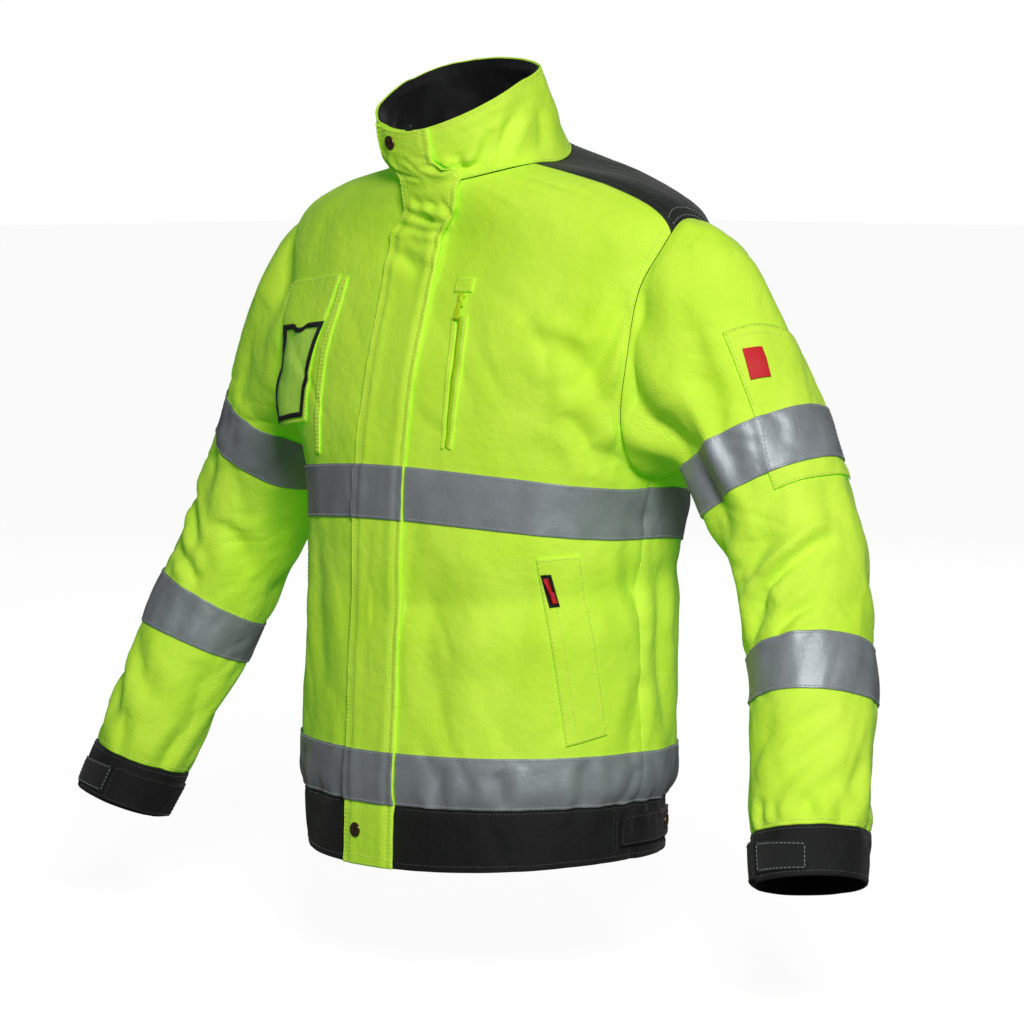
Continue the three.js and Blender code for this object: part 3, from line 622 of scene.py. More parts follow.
for name, side in (("left", 1), ("right", -1)):
    cloth(f"yoke_{name}", [(body, *yoke_grid(side))], *shell, *charcoal, edge=0.4)


def seam_line(side, seam, distance):
    """A line beside a yoke's seam, from the armhole to the neck, a distance in mm up the yoke."""
    (turn_from, at_from), (turn_to, at_to) = seam
    dx, dy = (turn_to - turn_from) * degree_on_body, at_to - at_from
    length = math.hypot(dx, dy)
    towards = 1 if seam is yoke_front else -1
    turn = between(turn_from, turn_to) + towards * dy / length * distance / degree_on_body
    return side * turn, between(at_from, at_to) - towards * dx / length * distance


grey_thread = thread("grey_sewing_thread", "#8f9694")
sew("yoke_topstitching", [
    (body, *seam_line(side, seam, distance), on_cloth)
    for side in (1, -1) for distance in (1.8, 7.5) for seam in (yoke_front, yoke_back)
], thread("charcoal_sewing_thread", "#3a3f3b"), "charcoal_cloth")
sew("yoke_armhole_topstitching", [
    (body, *armhole_line(side, 22, -42, distance), on_cloth) for side in (1, -1) for distance in (2.5, 8)
], grey_thread, "charcoal_cloth")

# Stand collar: padded, lime outside and lined in black, sewn to the neck and closed by the zip.
# Wear has pressed soft slanting dents into its sides.
collar_rings = dict(zip(
    ("at", "up", "half", "front", "back", "side", "front_up", "back_up", "square", "bend"),
    np.array([
        (0, 0, 85, -95, 60, -10, -22, 26, 0.04, 2),
        (0.5, 42, 81, -104, 33, -24, -38, 24, 0.07, 1.5),
        (1, 77, 79, -110, 10, -35, -48, 22, 0.1, 1.2),
    ]).T))
collar_wall, lining_wall, layer_gap = 2, 1.6, 0.6
collar_height = 77
collar_folds = [
    (36, 3, 56, 44, 4, 4.5, -7), (52, 2, 76, 46, -4, 5, -6), (27, 1, 33, 32, 2, 4, -6),
    (27, 8, 44, 5, -5, 4, -6), (22, 6, 28, 30, -2, 6, 4), (62, 44, 88, 60, 3, 8, -2),
    (84, 6, 96, 50, 4, 8, -2.8), (-46, 6, -60, 50, -3, 7, -3.4), (-70, 4, -84, 40, 3, 8, -3),
    (130, 8, 140, 56, 3, 9, -2.8), (-128, 8, -140, 50, -3, 9, -2.8), (176, 8, 182, 50, 3, 10, -2.2),
]


def collar_relief(turn, at):
    """The collar's dents, the draw of its seam and topstitched top edge, in mm."""
    signed = (turn + 180) % 360 - 180
    up = at * collar_height
    across = signed * 1.4
    height = (1.6 * soft_noise(across / 38 + 30, up / 40, 21)
              + 0.7 * soft_noise(across / 15 + 30, up / 17, 22)
              + folds(signed, up, 1.4, collar_folds) + sewn(np.abs(up - 70), across, 0.6, 0.5, 10, 23))
    x = ring_place(collar_rings, turn, at, up)[..., 0] - flap_shift(at, True)
    inset = np.minimum(flap_left - x, x - flap_right)
    flap = (np.abs(signed) < 60) & (inset > 0)
    crumple = (2.6 * soft_noise(x / 16 + up / 30, up / 8, 24)
               + 0.9 * soft_noise(x / 7, up / 6, 25)) * smooth((58 - up) / 25)
    on_flap = 0.3 * height + crumple - 0.8 * np.exp(-((inset - 7) / 2.2) ** 2)
    return np.where(flap, on_flap, height) * smooth(up / 14)


collar = Form(
    lambda turn, at: ring_place(collar_rings, turn, at, column(collar_rings, "up", at)), collar_relief,
    lambda at: (np.maximum(at - 0.02, 0), np.minimum(at + 0.02, 1)))


def collar_turn(x, at):
    """The turn on the collar at a distance from the centre front."""
    return np.degrees(np.arcsin(x / column(collar_rings, "half", at)))


def collar_grid(low):
    """The collar from one side of the zip round the back to the other."""
    at = (low + (1 - low) * shares(26, 80))[:, None]
    start = collar_turn(zip_half, at)
    return start + (360 - 2 * start) * shares(150, 500)[None, :], at


black = oxford("black_polyester_oxford", "#101111", "#171918", "#0a0b0b", 0.0014, 0.0003, 0.0012,
               Roughness=0.66, Sheen_Weight=0.08, Sheen_Roughness=0.4,
               Specular_IOR_Level=0.35), "black_cloth"
cloth("collar_outer", [(collar, *collar_grid(0))], -collar_wall, 0, *lime, edge=0.5)
lining = collar_grid(0.02)
slack = 2.6 + 2.6 * soft_noise(lining[0] / 24 + lining[1] * 1.4, lining[1] * 2.2 + lining[0] / 90, 27)
slack = slack * smooth((1 - lining[1]) / 0.12) * smooth((lining[1] - 0.02) / 0.1)
lining_face = -collar_wall - layer_gap - slack
cloth("collar_lining", [(collar, *lining)], lining_face - lining_wall, lining_face, *black)
sew("collar_topstitching", [(collar, between(19, 328), at, on_cloth) for at in (0.92, 0.03)], *lime_thread)

# Sleeves: each one tube of padded oxford set into the armhole, hanging slightly bent at the elbow.
# The elbow's folds gather on its inner side, and long soft diagonals run down from the armhole.
arm_sections = dict(zip(
    ("at", "x", "y", "radius", "depth"),
    np.array([
        (248, 308, 25, 67, 68), (303, 338, 27, 65, 65), (356, 367, 24, 61, 62), (411, 389, 9, 58, 59),
        (457, 407, -6, 56, 57), (524, 426, -28, 55, 56), (594, 449, -54, 53, 54), (634, 463, -70, 50, 51),
    ], float).T))
arm_first, arm_last = 248, 634
upper_band, lower_band, cuff_rows = (248, 293), (435, 480), (592, 632)
arm_rise = {"left": 8, "right": -8}
sleeve_folds = {
    "left": [
        (102, 30, 128, 180, 0, 24, -8), (50, 30, 84, 182, 7, 8, -7), (58, 118, 68, 244, -5, 11, -8),
        (42, 110, 52, 300, 6, 9, 4.5), (98, 78, 124, 262, -6, 7, -11), (99, 200, 106, 330, 4, 11, -11),
        (77, 170, 80, 310, 3, 5, 4), (84, 96, 118, 200, 8, 10, -4), (28, 60, 18, 200, 8, 16, -3),
        (8, 40, -8, 180, -8, 18, 3), (16, 354, 118, 412, 6, 5, -11), (10, 340, 96, 392, 6, 9, 5),
        (80, 402, 122, 424, 3, 8, -9), (42, 410, 84, 434, 3, 4.5, -6.5),
        (64, 336, 122, 362, -5, 9, -5), (30, 306, 84, 336, 6, 8, -3.5),
        (4, 300, 20, 350, -4, 11, -3.5), (120, 310, 150, 380, 6, 9, -5), (36, 376, 70, 396, 3, 5, -3),
        (112, 578, 22, 504, 6, 9, -5), (96, 530, 28, 487, 4, 7, -4.5), (84, 590, 22, 548, 4, 7, -4),
        (126, 540, 84, 500, 5, 8, -4), (16, 566, -10, 530, 4, 9, -3), (60, 566, 44, 590, 2, 5, -3),
        (22, 570, 16, 591, 3, 6, -3), (88, 572, 86, 591, 2, 5, -3), (108, 568, 106, 591, 2, 5, -3),
        (-20, 310, -50, 380, -8, 14, -4), (-36, 420, -84, 432, 5, 12, -5),
        (-16, 366, -70, 392, 6, 9, -5), (-30, 490, -56, 580, 8, 13, -4),
        (-80, 120, -110, 240, 10, 13, -6), (-60, 300, -110, 350, 8, 12, -5),
        (-120, 380, -170, 410, 6, 8, -7), (-130, 300, -168, 360, 8, 11, -5),
        (-100, 480, -150, 540, 8, 12, -5), (160, 480, 200, 540, 8, 12, -5),
        (180, 540, 150, 590, 5, 9, -4), (-62, 30, -80, 150, 8, 11, -6), (-40, 90, -52, 200, 6, 12, -4),
        (150, 396, 196, 424, 4, 7, -7),
    ],
    "right": [
        (102, 30, 128, 180, 0, 24, -8), (46, 40, 80, 184, 6, 8, -6.5), (62, 130, 84, 240, -6, 11, -7),
        (104, 120, 134, 266, 6, 8, -7.5), (22, 90, 10, 205, 8, 17, -3), (80, 60, 116, 148, 8, 12, -4),
        (90, 296, 130, 352, 7, 11, -5), (22, 350, 100, 402, 7, 6, -7.5), (60, 406, 120, 428, 4, 5, -7),
        (110, 356, 160, 400, 6, 10, -6), (40, 300, 84, 338, 7, 11, -4), (0, 304, 30, 372, -6, 13, -4),
        (140, 300, 176, 372, 8, 11, -5), (104, 572, 30, 500, 6, 9, -5),
        (130, 540, 66, 486, 5, 8, -4.5), (70, 590, 22, 546, 4, 8, -4), (150, 490, 180, 560, 7, 10, -5),
        (96, 556, 110, 591, 3, 7, -4), (50, 560, 56, 591, 2, 7, -3), (170, 556, 160, 590, 3, 8, -4),
        (-24, 310, -60, 372, -8, 14, -4), (-30, 416, -90, 436, 5, 12, -5),
        (-30, 486, -60, 584, 8, 13, -4), (-84, 110, -112, 236, 10, 15, -5),
        (-64, 304, -116, 360, 8, 12, -5), (-124, 376, -172, 408, 6, 10, -6),
        (-104, 484, -150, 550, 8, 12, -5), (-62, 40, -84, 140, 8, 14, -4),
    ],
}


def arm_frame(down):
    """The arm's centre at a distance down, with its directions outwards, forwards and along."""
    centre = lambda at: np.stack([column(arm_sections, "x", at), column(arm_sections, "y", at), -at], axis=-1)
    along = centre(np.minimum(down + 1, arm_last)) - centre(np.maximum(down - 1, arm_first))
    along = along / np.linalg.norm(along, axis=-1, keepdims=True)
    out = np.array([1, 0, 0]) - along * along[..., :1]
    out = out / np.linalg.norm(out, axis=-1, keepdims=True)
    return centre(down), along, out, -np.cross(out, along)


def sleeve_ends(turn, down):
    """Where a line of the sleeve leaves the armhole, and where it meets the arm's section."""
    sine, cosine = (f(np.radians(turn))[..., None] for f in (np.sin, np.cos))
    centre, along, out, fore = arm_frame(down)
    end = (centre + out * column(arm_sections, "radius", down)[..., None] * cosine
           + fore * column(arm_sections, "depth", down)[..., None] * sine)
    loop = armhole_place(turn)
    start = ring_place(body_rings, *loop, loop[1]) + body.normal(*loop) * 0.2 * (1 - cosine)
    return start, end, along, sine, cosine


def sleeve_place(turn, at):
    """The left sleeve. Above 1, at is the distance down the arm, on its oval section. From 0 to 1 it
    is a smooth curve from the armhole to the arm's first section, bent by its two end directions."""
    turn, at = np.broadcast_arrays(turn, at)
    start, end, along, sine, cosine = sleeve_ends(turn, np.where(at > 1, at, arm_first))
    leave = np.concatenate([0.62 + 0.35 * cosine, -0.2 * sine, -0.62 + 0.36 * cosine], axis=-1)
    leave = leave / np.linalg.norm(leave, axis=-1, keepdims=True)
    reach = np.linalg.norm(end - start, axis=-1, keepdims=True)
    t = np.minimum(at, 1)[..., None]
    cap = (start + (end - start) * (3 * t**2 - 2 * t**3) + leave * (t**3 - 2 * t**2 + t) * reach
           + along * (t**3 - t**2) * reach)
    return np.where(at[..., None] > 1, end, cap)


def sleeve_down(turn, at):
    """Distance down the sleeve in mm, counted back from the first section through the cap."""
    start, end = sleeve_ends(turn, np.full(np.shape(turn), float(arm_first)))[:2]
    reach = np.linalg.norm(end - start, axis=-1)
    return np.where(at > 1, at, arm_first - (1 - at) * reach), arm_first - reach


def sleeve_relief(name):
    """The folds of one sleeve, with the draw of its bands, armhole and cuff seam, in mm."""
    seed = 40 if name == "left" else 60

    def relief(turn, at):
        turn, at = np.broadcast_arrays(turn, at)
        down, top = sleeve_down(turn, at)
        signed = (turn + 180) % 360 - 180
        round_x, round_y = 1.3 * np.cos(np.radians(turn)), 1.3 * np.sin(np.radians(turn))
        height = (2.6 * soft_noise(round_x + 20 + down / 130, round_y + 20 + down / 200, seed)
                  + 1.4 * soft_noise(2.3 * round_x + 30 + down / 70, 2.3 * round_y + 20 - down / 60, seed + 1)
                  + 0.5 * soft_noise(6 * round_x + 30 + down / 30, 6 * round_y + 20 - down / 20, seed + 2))
        height = height + folds(signed, down, 1.02, sleeve_folds[name])
        drape = soft_noise(down / 26 + signed / 34, signed / 60 - down / 90, seed + 6)
        height -= (1.7 * np.clip(0.45 - np.abs(drape), 0, 1) / 0.45
                   * smooth(soft_noise(signed / 50, down / 60, seed + 7) + 0.5))
        for level, dip, pucker in (
                (upper_band[0], 0.5, 1), (upper_band[1], 0.5, 1.1), (lower_band[0], 0.5, 1.2),
                (lower_band[1], 0.5, 1.1), (cuff_rows[0], 2.2, 1.8)):
            height += sewn(np.abs(down - level), signed, dip, pucker, 13, seed + 3)
        height += sewn(down - top, signed, 0.5, 2, 12, seed + 4)
        height = height * np.where(down > cuff_rows[0], 0.5, 1)
        return height * smooth((down - top) / 11)
    return relief


def sleeve_form(name):
    """The form of one sleeve, lifted or lowered below the elbow, its cuff turned a little more level,
    and mirrored on the right."""
    mirror = 1 if name == "left" else -1

    def change(point):
        moved = point * np.array([mirror, 1, 1])
        moved[..., 2] += arm_rise[name] * smooth((-point[..., 2] - 380) / 270)
        towards = (point[..., 0] - 452) * 0.5 - (point[..., 1] + 58) * 0.85
        moved[..., 2] -= 0.17 * towards * smooth((-point[..., 2] - 480) / 100)
        return moved

    def span(at):
        on_arm = at > 1
        return (np.where(on_arm, np.maximum(at - 1, arm_first), np.maximum(at - 0.02, 0)),
                np.where(on_arm, np.minimum(at + 1, arm_last), np.minimum(at + 0.02, 1)))

    return Form(sleeve_place, sleeve_relief(name), span, change, mirror)


sleeves = {name: sleeve_form(name) for name in ("left", "right")}


def ring_grid(rows, count=118):
    """Rows of a whole tube, from the top of the arm by its front."""
    return np.linspace(0, 360, count + 1)[None, :-1], rows[:, None]


def sleeve_rows():
    """Rows of a sleeve from the armhole to the cuff, close together at both ends."""
    cap = np.concatenate([[0, 0.004, 0.009, 0.018], np.linspace(0.035, 1, 46)])
    return np.concatenate([cap, np.linspace(251.5, 587, 96), [589.2, 590.6, 591.4, 592]])


for name in sleeves:
    cloth(f"sleeve_{name}", [(sleeves[name], *ring_grid(sleeve_rows()))], *shell, *lime, closed=True,
          edge=0.4, inside=lining_cloth)
whole_turn = between(0, 360)
sleeve_lines = [(form, whole_turn, 588.5, on_cloth) for form in sleeves.values()]
sleeve_lines += [(form, 182, between(252, 588), on_cloth) for form in sleeves.values()]
sew("sleeve_topstitching", sleeve_lines, *lime_thread)

# Cuffs: a band of black oxford round each wrist, with a hook-and-loop tab that closes over a strip of
# loop sewn to the front of the cuff.
def band_rows(top, low, count):
    """Rows down a band of tape or a cuff."""
    return top + (low - top) * shares(count, abs(low - top))


def between_corners(corners, across, up):
    """Turns and places ruled evenly between four corners: low front, low side, top front, top side."""
    low_start, low_end, top_start, top_end = np.array(corners, float)
    across, up = np.asarray(across)[..., None], np.asarray(up)[..., None]
    low = low_start + (low_end - low_start) * across
    top = top_start + (top_end - top_start) * across
    place = low + (top - low) * up
    return place[..., 0], place[..., 1]


def patch_grid(corners, columns, rows, size):
    """A patch between four corners. size is its width and length in mm."""
    return between_corners(corners, shares(columns, size[0])[None, :], shares(rows, size[1])[:, None])


def border_lines(form, corners, inset, size, out, sides=(0, 1, 2, 3)):
    """Lines just inside a patch's low, top, front and side edges."""
    x, y = inset / size[0], inset / size[1]
    run_x, run_y = between(x, 1 - x), between(y, 1 - y)
    every = [(run_x, y), (run_x, 1 - y), (x, run_y), (1 - x, run_y)]
    return [(form, *between_corners(corners, *every[k]), out) for k in sides]


def on_side(side, corners):
    """The same corners on the wearer's left (1) or right (-1)."""
    return [(side * turn, at) for turn, at in corners]


# Loop side of a hook-and-loop strip: a dense felt of tiny loops, matt and slightly lighter than cloth.
loop_strip, loop_shader, loop_place = new_material(
    "woven_loop_strip", Roughness=0.9, Sheen_Weight=0.1, Sheen_Roughness=0.5)
felt = add_node(loop_strip, "ShaderNodeTexNoise",
                {"Vector": loop_place["Object"], "Scale": 900, "Detail": 3, "Roughness": 0.7})
felt_tone = add_node(loop_strip, "ShaderNodeValToRGB", {0: felt.outputs["Fac"]},
                     stops=((0, "#0c0d0d"), (1, "#1b1d1c")))
feed(loop_shader, "Base Color", felt_tone.outputs[0])
felt_bump = add_node(loop_strip, "ShaderNodeBump",
                     {"Height": felt.outputs["Fac"], "Strength": 1, "Distance": 0.0006})
feed(loop_shader, "Normal", felt_bump.outputs[0])

tab_out = layer_gap, layer_gap + shell_wall
laid_out = layer_gap, layer_gap + 1
cuff_tab, cuff_tab_size = [(118, 630), (222, 630), (118, 600), (222, 600)], (104, 30)
cuff_loop, cuff_loop_size = [(56, 628), (114, 626), (56, 607), (114, 602)], (58, 22)
cuff_lines, loop_lines = [], []
for name, form in sleeves.items():
    cloth(f"cuff_{name}", [(form, *ring_grid(band_rows(*cuff_rows, 13)))], *shell, *black, closed=True)
    cloth(f"cuff_tab_{name}", [(form, *patch_grid(cuff_tab, 34, 9, cuff_tab_size))], *tab_out, *black,
          on=f"cuff_{name}")
    cloth(f"cuff_loop_{name}", [(form, *patch_grid(cuff_loop, 20, 7, cuff_loop_size))], *laid_out,
          loop_strip, "black_cloth", on=f"cuff_{name}")
    cuff_lines += [(form, whole_turn, at, on_cloth) for at in (595, 628.5)]
    cuff_lines += border_lines(form, cuff_tab, 2, cuff_tab_size, tab_out[1] + on_cloth)
    loop_lines += border_lines(form, cuff_loop, 1.6, cuff_loop_size, laid_out[1] + on_cloth)
dark_thread = thread("black_sewing_thread", "#262928"), "black_cloth"
sew("cuff_topstitching", cuff_lines, *dark_thread)
sew("loop_strip_stitching", loop_lines, grey_thread, "black_cloth")

# Waistband: a deep band of black oxford below the hem tape, with a tab on each hip that a snap closes.
hem_tab_end = side_seam + 3 * (360 - 2 * side_seam) / 16
hem_tab, hem_tab_size = [(84, -627), (hem_tab_end, -627), (84, -598), (hem_tab_end, -598)], (124, 29)


def front_ring(side, low, top, edge, count):
    """Rows of a band on one front, from a distance beside the zip to the side seam."""
    at = (low + (top - low) * shares(count, top - low))[:, None]
    start = body_turn(edge, at)
    return side * (start + (side_seam - start) * shares(88, 290)[None, :]), at


def back_ring(low, top, count):
    """Rows of a band on the back, from side seam to side seam."""
    at = (low + (top - low) * shares(count, top - low))[:, None]
    return side_seam + (360 - 2 * side_seam) * shares(128, 560)[None, :], at


waist_lines = [(body, between(9, 351), at, on_cloth) for at in (waist_seam - 3, hem_level + 5)]
for name, side in (("left", 1), ("right", -1)):
    tab = on_side(side, hem_tab)
    cloth(f"waistband_{name}", [(body, *front_ring(side, hem_level, waist_seam, zip_half, 16))], *shell,
          *black)
    cloth(f"hem_tab_{name}", [(body, *patch_grid(tab, 34, 8, hem_tab_size))], *tab_out, *black,
          on=f"waistband_{name}")
    waist_lines += border_lines(body, tab, 2.2, hem_tab_size, tab_out[1] + on_cloth)
    waist_lines += [(body, side * turn, between(-638, -591), on_cloth) for turn in (81, 82.5)]
cloth("waistband_back", [(body, *back_ring(hem_level, waist_seam, 16))], *shell, *black)
sew("waistband_topstitching", waist_lines, *dark_thread)


def stand_on(points, form, turn, at, out):
    """Points of a small hard piece, moved so that its x lies along the form, its y up it and its z
    outwards, at a place and a distance out."""
    (centre, direction) = (part[0] for part in form.surface(np.array([turn]), np.array([at])))
    ahead = form.surface(np.array([turn + 0.5]), np.array([at]))[0][0] - centre
    up = np.cross(direction, ahead)
    up /= np.linalg.norm(up)
    basis = np.stack([np.cross(up, direction), up, direction])
    return centre + direction * out + points @ basis


def ring_quads(rows, count):
    """The faces between stacked rings of points."""
    row, col = (grid.ravel() for grid in np.meshgrid(np.arange(rows - 1), np.arange(count), indexing="ij"))
    index = lambda r, c: r * count + c % count
    return np.stack([index(row, col), index(row, col + 1), index(row + 1, col + 1), index(row + 1, col)],
                    axis=1)


def lathe_mesh(name, profile, segments, place):
    """A closed turned piece from its profile of radius and height, whose ends lie on the axis."""
    profile = np.array(profile, float)
    angle = np.linspace(0, 2 * math.pi, segments, endpoint=False)
    middle = profile[1:-1]
    rings = np.stack([middle[:, :1] * np.cos(angle), middle[:, :1] * np.sin(angle),
                      middle[:, 1:] + 0 * angle], axis=-1).reshape(-1, 3)
    points = np.concatenate([rings, [[0, 0, profile[0, 1]], [0, 0, profile[-1, 1]]]])
    last = (len(middle) - 1) * segments
    caps = [(len(rings), (k + 1) % segments, k) for k in range(segments)]
    caps += [(len(rings) + 1, last + k, last + (k + 1) % segments) for k in range(segments)]
    return smooth_mesh(name, place(points), [*ring_quads(len(middle), segments).tolist(), *caps])


# Antique brass snaps: stamped and tumbled, so that the rims are rubbed bright and the hollows stay dark.
brass, brass_shader, brass_place = new_material("antique_brass", Metallic=1, Roughness=0.36)
brass_noise = add_node(brass, "ShaderNodeTexNoise",
                       {"Vector": brass_place["Object"], "Scale": 420, "Detail": 5})
brass_wear = add_node(brass, "ShaderNodeNewGeometry")
brass_mix = add_node(brass, "ShaderNodeMath", {
    0: brass_noise.outputs["Fac"], 1: brass_wear.outputs["Pointiness"]}, operation="MULTIPLY")
brass_tone = add_node(brass, "ShaderNodeValToRGB", {0: brass_mix.outputs[0]},
                      stops=((0.16, "#4a3a2b"), (0.36, "#a98a66")))
feed(brass_shader, "Base Color", brass_tone.outputs[0])

snap_profile = [(0, 1.0), (2.2, 1.0), (2.7, 1.25), (3.1, 1.7), (4.2, 1.85), (5, 1.5), (5.3, 1.25), (5.7, 1.5),
                (6.4, 1.45), (6.9, 1.0), (7, 0.5), (6.9, 0), (0, 0)][::-1]


def snap(name, form, turn, at, out):
    """A snap's cap: a rolled rim, a sunk ring and a raised ring round a flat middle."""
    mesh = lathe_mesh(name, snap_profile, 40, lambda points: stand_on(points, form, turn, at, out))
    return show(name + "_cap", mesh, brass, "snap_metal", stands_for=[name])


for name, side in (("left", 1), ("right", -1)):
    snap(f"hem_tab_snap_{name}", body, side * 117, -612, tab_out[1])

# Closure: a two-way zip up the whole front, under a padded storm flap with two rows of topstitching
# along each edge, which snaps close at the collar and at the hem.
flap_wall = 2.8
flap_top = layer_gap + flap_wall


def flap_stand(at, on_collar):
    """How much further off the flap stands where it crosses the neck."""
    return 2.5 - 2 * at if on_collar else 2.5 * smooth((at + 150) / 110)


def centre_grid(edges, count, collar_top, shift=0):
    """What runs up the centre front, over the body and then over the collar. edges are distances from
    the zip, and shift is 1 for the flap, which swerves at the neck."""
    rows = (hem_level - hem_level * shares(count, -hem_level))[:-3, None]
    above = (collar_top * shares(26, 80 * collar_top))[3:, None]
    return [(body, body_turn(edges + shift * flap_shift(rows, False), rows), rows),
            (collar, collar_turn(edges + shift * flap_shift(above, True), above), above)]


zip_teeth = oxford("zip_tape", "#b6e010", "#c2ec1a", "#8fb808", 0.0012, 0.0003, 0.0003,
                   Roughness=0.5), "lime_zip"
cloth("main_zip", centre_grid(np.linspace(-4.4, 4.4, 7), 150, 0.9), -3, -0.2, *zip_teeth)
flap_edges = flap_right + (flap_left - flap_right) * shares(24, flap_left - flap_right)
flap_blocks = centre_grid(flap_edges, 230, 1, shift=1)
stand = np.concatenate([flap_stand(block[2], block[0] is collar) for block in flap_blocks])
cloth("storm_flap", flap_blocks, layer_gap + stand, flap_top + stand, *lime, on="front_left front_right")
flap_lines = []
for edge, inwards in ((flap_left, -1), (flap_right, 1)):
    for inset in (1.8, 8):
        for form, turn_at, run in ((body, body_turn, between(hem_level + 2, -1)),
                                   (collar, collar_turn, between(0.02, 0.98))):
            x = edge + inwards * inset + flap_shift(run, form is collar)
            stands = flap_top + flap_stand(run, form is collar) + on_cloth
            flap_lines.append((form, turn_at(x, run), run, stands))
x = between(flap_right + 2, flap_left - 2)
for inset in (1.8, 8):
    low, top = hem_level + inset, 1 - inset / collar_height
    flap_lines += [(body, body_turn(x, low), low, flap_top + on_cloth),
                   (collar, collar_turn(x, top), top, flap_top + 0.6)]
sew("flap_topstitching", flap_lines, *lime_thread)
snap("collar_snap", collar, collar_turn(-22, 0.75), 0.75, flap_top + flap_stand(0.75, True) + 0.3)
snap("hem_snap", body, body_turn(-22, -612), -612, flap_top + 0.3)

# Reflective tape, 50 mm wide: a woven backing coated with glass beads, sewn along both edges round the chest,
# above the waistband and twice round each sleeve. The light that the beads throw back is painted into its
# colour as soft grey smears and fine speckle: painted reflection, whose smears also give a soft bump.
tape_cloth, tape_shader, tape_place = new_material(
    "glass_bead_tape", Roughness=0.5, Metallic=0.3, Specular_IOR_Level=0.5)
beads = add_node(tape_cloth, "ShaderNodeTexNoise",
                 {"Vector": tape_place["Object"], "Scale": 1400, "Detail": 2, "Roughness": 0.6})
painted_glint_and_bump_smears = add_node(tape_cloth, "ShaderNodeTexNoise",
                  {"Vector": tape_place["Object"], "Scale": 26, "Detail": 7, "Roughness": 0.65})
both = add_node(tape_cloth, "ShaderNodeMath", {0: painted_glint_and_bump_smears.outputs["Fac"], 1: beads.outputs["Fac"]},
                operation="ADD")
halved = add_node(tape_cloth, "ShaderNodeMath", {0: both.outputs[0], 1: 0.5}, operation="MULTIPLY")
# Grey smears and bead speckle in the tape's colour: painted reflection.
tape_tone_with_painted_glints = add_node(tape_cloth, "ShaderNodeValToRGB", {0: halved.outputs[0]},
                     stops=((0.35, "#868d91"), (0.65, "#a4abaf")))
feed(tape_shader, "Base Color", tape_tone_with_painted_glints.outputs[0])
tape_bump = add_node(tape_cloth, "ShaderNodeBump",
                     {"Height": painted_glint_and_bump_smears.outputs["Fac"], "Strength": 1, "Distance": 0.0012})
feed(tape_shader, "Normal", tape_bump.outputs[0])
tape = tape_cloth, "reflective_tape"

over_flap = flap_top + layer_gap, flap_top + layer_gap + 1
tape_line_out = laid_out[1] + on_cloth
tape_lines = []
for label, low, top in (("chest_tape", chest_tape_low, chest_tape_top),
                        ("hem_tape", waist_seam, hem_tape_top)):
    for name, side, edge in (("left", 1, flap_left + 0.5), ("right", -1, 0.5 - flap_right)):
        cloth(f"{label}_{name}", [(body, *front_ring(side, low, top, edge, 15))], *laid_out, *tape,
              on=f"front_{name}")
    cloth(f"{label}_back", [(body, *back_ring(low, top, 15))], *laid_out, *tape, on="back")
    levels = (low + (top - low) * shares(15, top - low))[:, None]
    cloth(f"{label}_flap", [(body, body_turn(flap_edges[None, :], levels), levels)], *over_flap, *tape,
          on="storm_flap")
    x = between(flap_right + 1, flap_left - 1)
    for level in (low + 2, top - 2):
        start, end = body_turn(flap_left + 1, level), body_turn(-flap_right + 1, level)
        tape_lines += [(body, between(start, 360 - end), level, tape_line_out),
                       (body, body_turn(x, level), level, over_flap[1] + on_cloth)]
pocket_gap = 1.2
pocket_step = 1 + pocket_gap


def pocket_front(at):
    """The turn of the sleeve pocket's front edge, which slants forward as it runs down."""
    return np.where(at > 1, 42 + 9 * smooth((at - 248) / 60), 37 + 5 * at)


def over_pocket(signed, at):
    """How far the upper band is lifted where it passes over the sleeve pocket."""
    edge = np.where(signed > 0, pocket_front(at), 40)
    return pocket_step * smooth((edge + 4 - np.abs(signed)) / 4)


for name, form in sleeves.items():
    turn, at = ring_grid(band_rows(*upper_band, 14))
    signed = (turn + 180) % 360 - 180
    lift = over_pocket(signed, at) if name == "left" else 0
    cloth(f"upper_band_{name}", [(form, turn, at)], laid_out[0] + lift, laid_out[1] + lift, *tape,
          on=f"sleeve_{name}", closed=True)
    cloth(f"lower_band_{name}", [(form, *ring_grid(band_rows(*lower_band, 14)))], *laid_out, *tape,
          on=f"sleeve_{name}", closed=True)
    signed = (whole_turn + 180) % 360 - 180
    for level in (upper_band[0] + 2, upper_band[1] - 2):
        lift = over_pocket(signed, level) if name == "left" else 0
        tape_lines.append((form, whole_turn, level, tape_line_out + lift))
    tape_lines += [(form, whole_turn, level, tape_line_out)
                   for level in (lower_band[0] + 2, lower_band[1] - 2)]
band_run = between(249, 292)
tape_lines += [(sleeves["left"], turn, band_run, tape_line_out + pocket_step)
               for turn in (-38, between(11, 18), pocket_front(band_run) - 2)]
sew("tape_stitching", tape_lines, thread("silver_sewing_thread", "#a9adb0"), "reflective_tape")

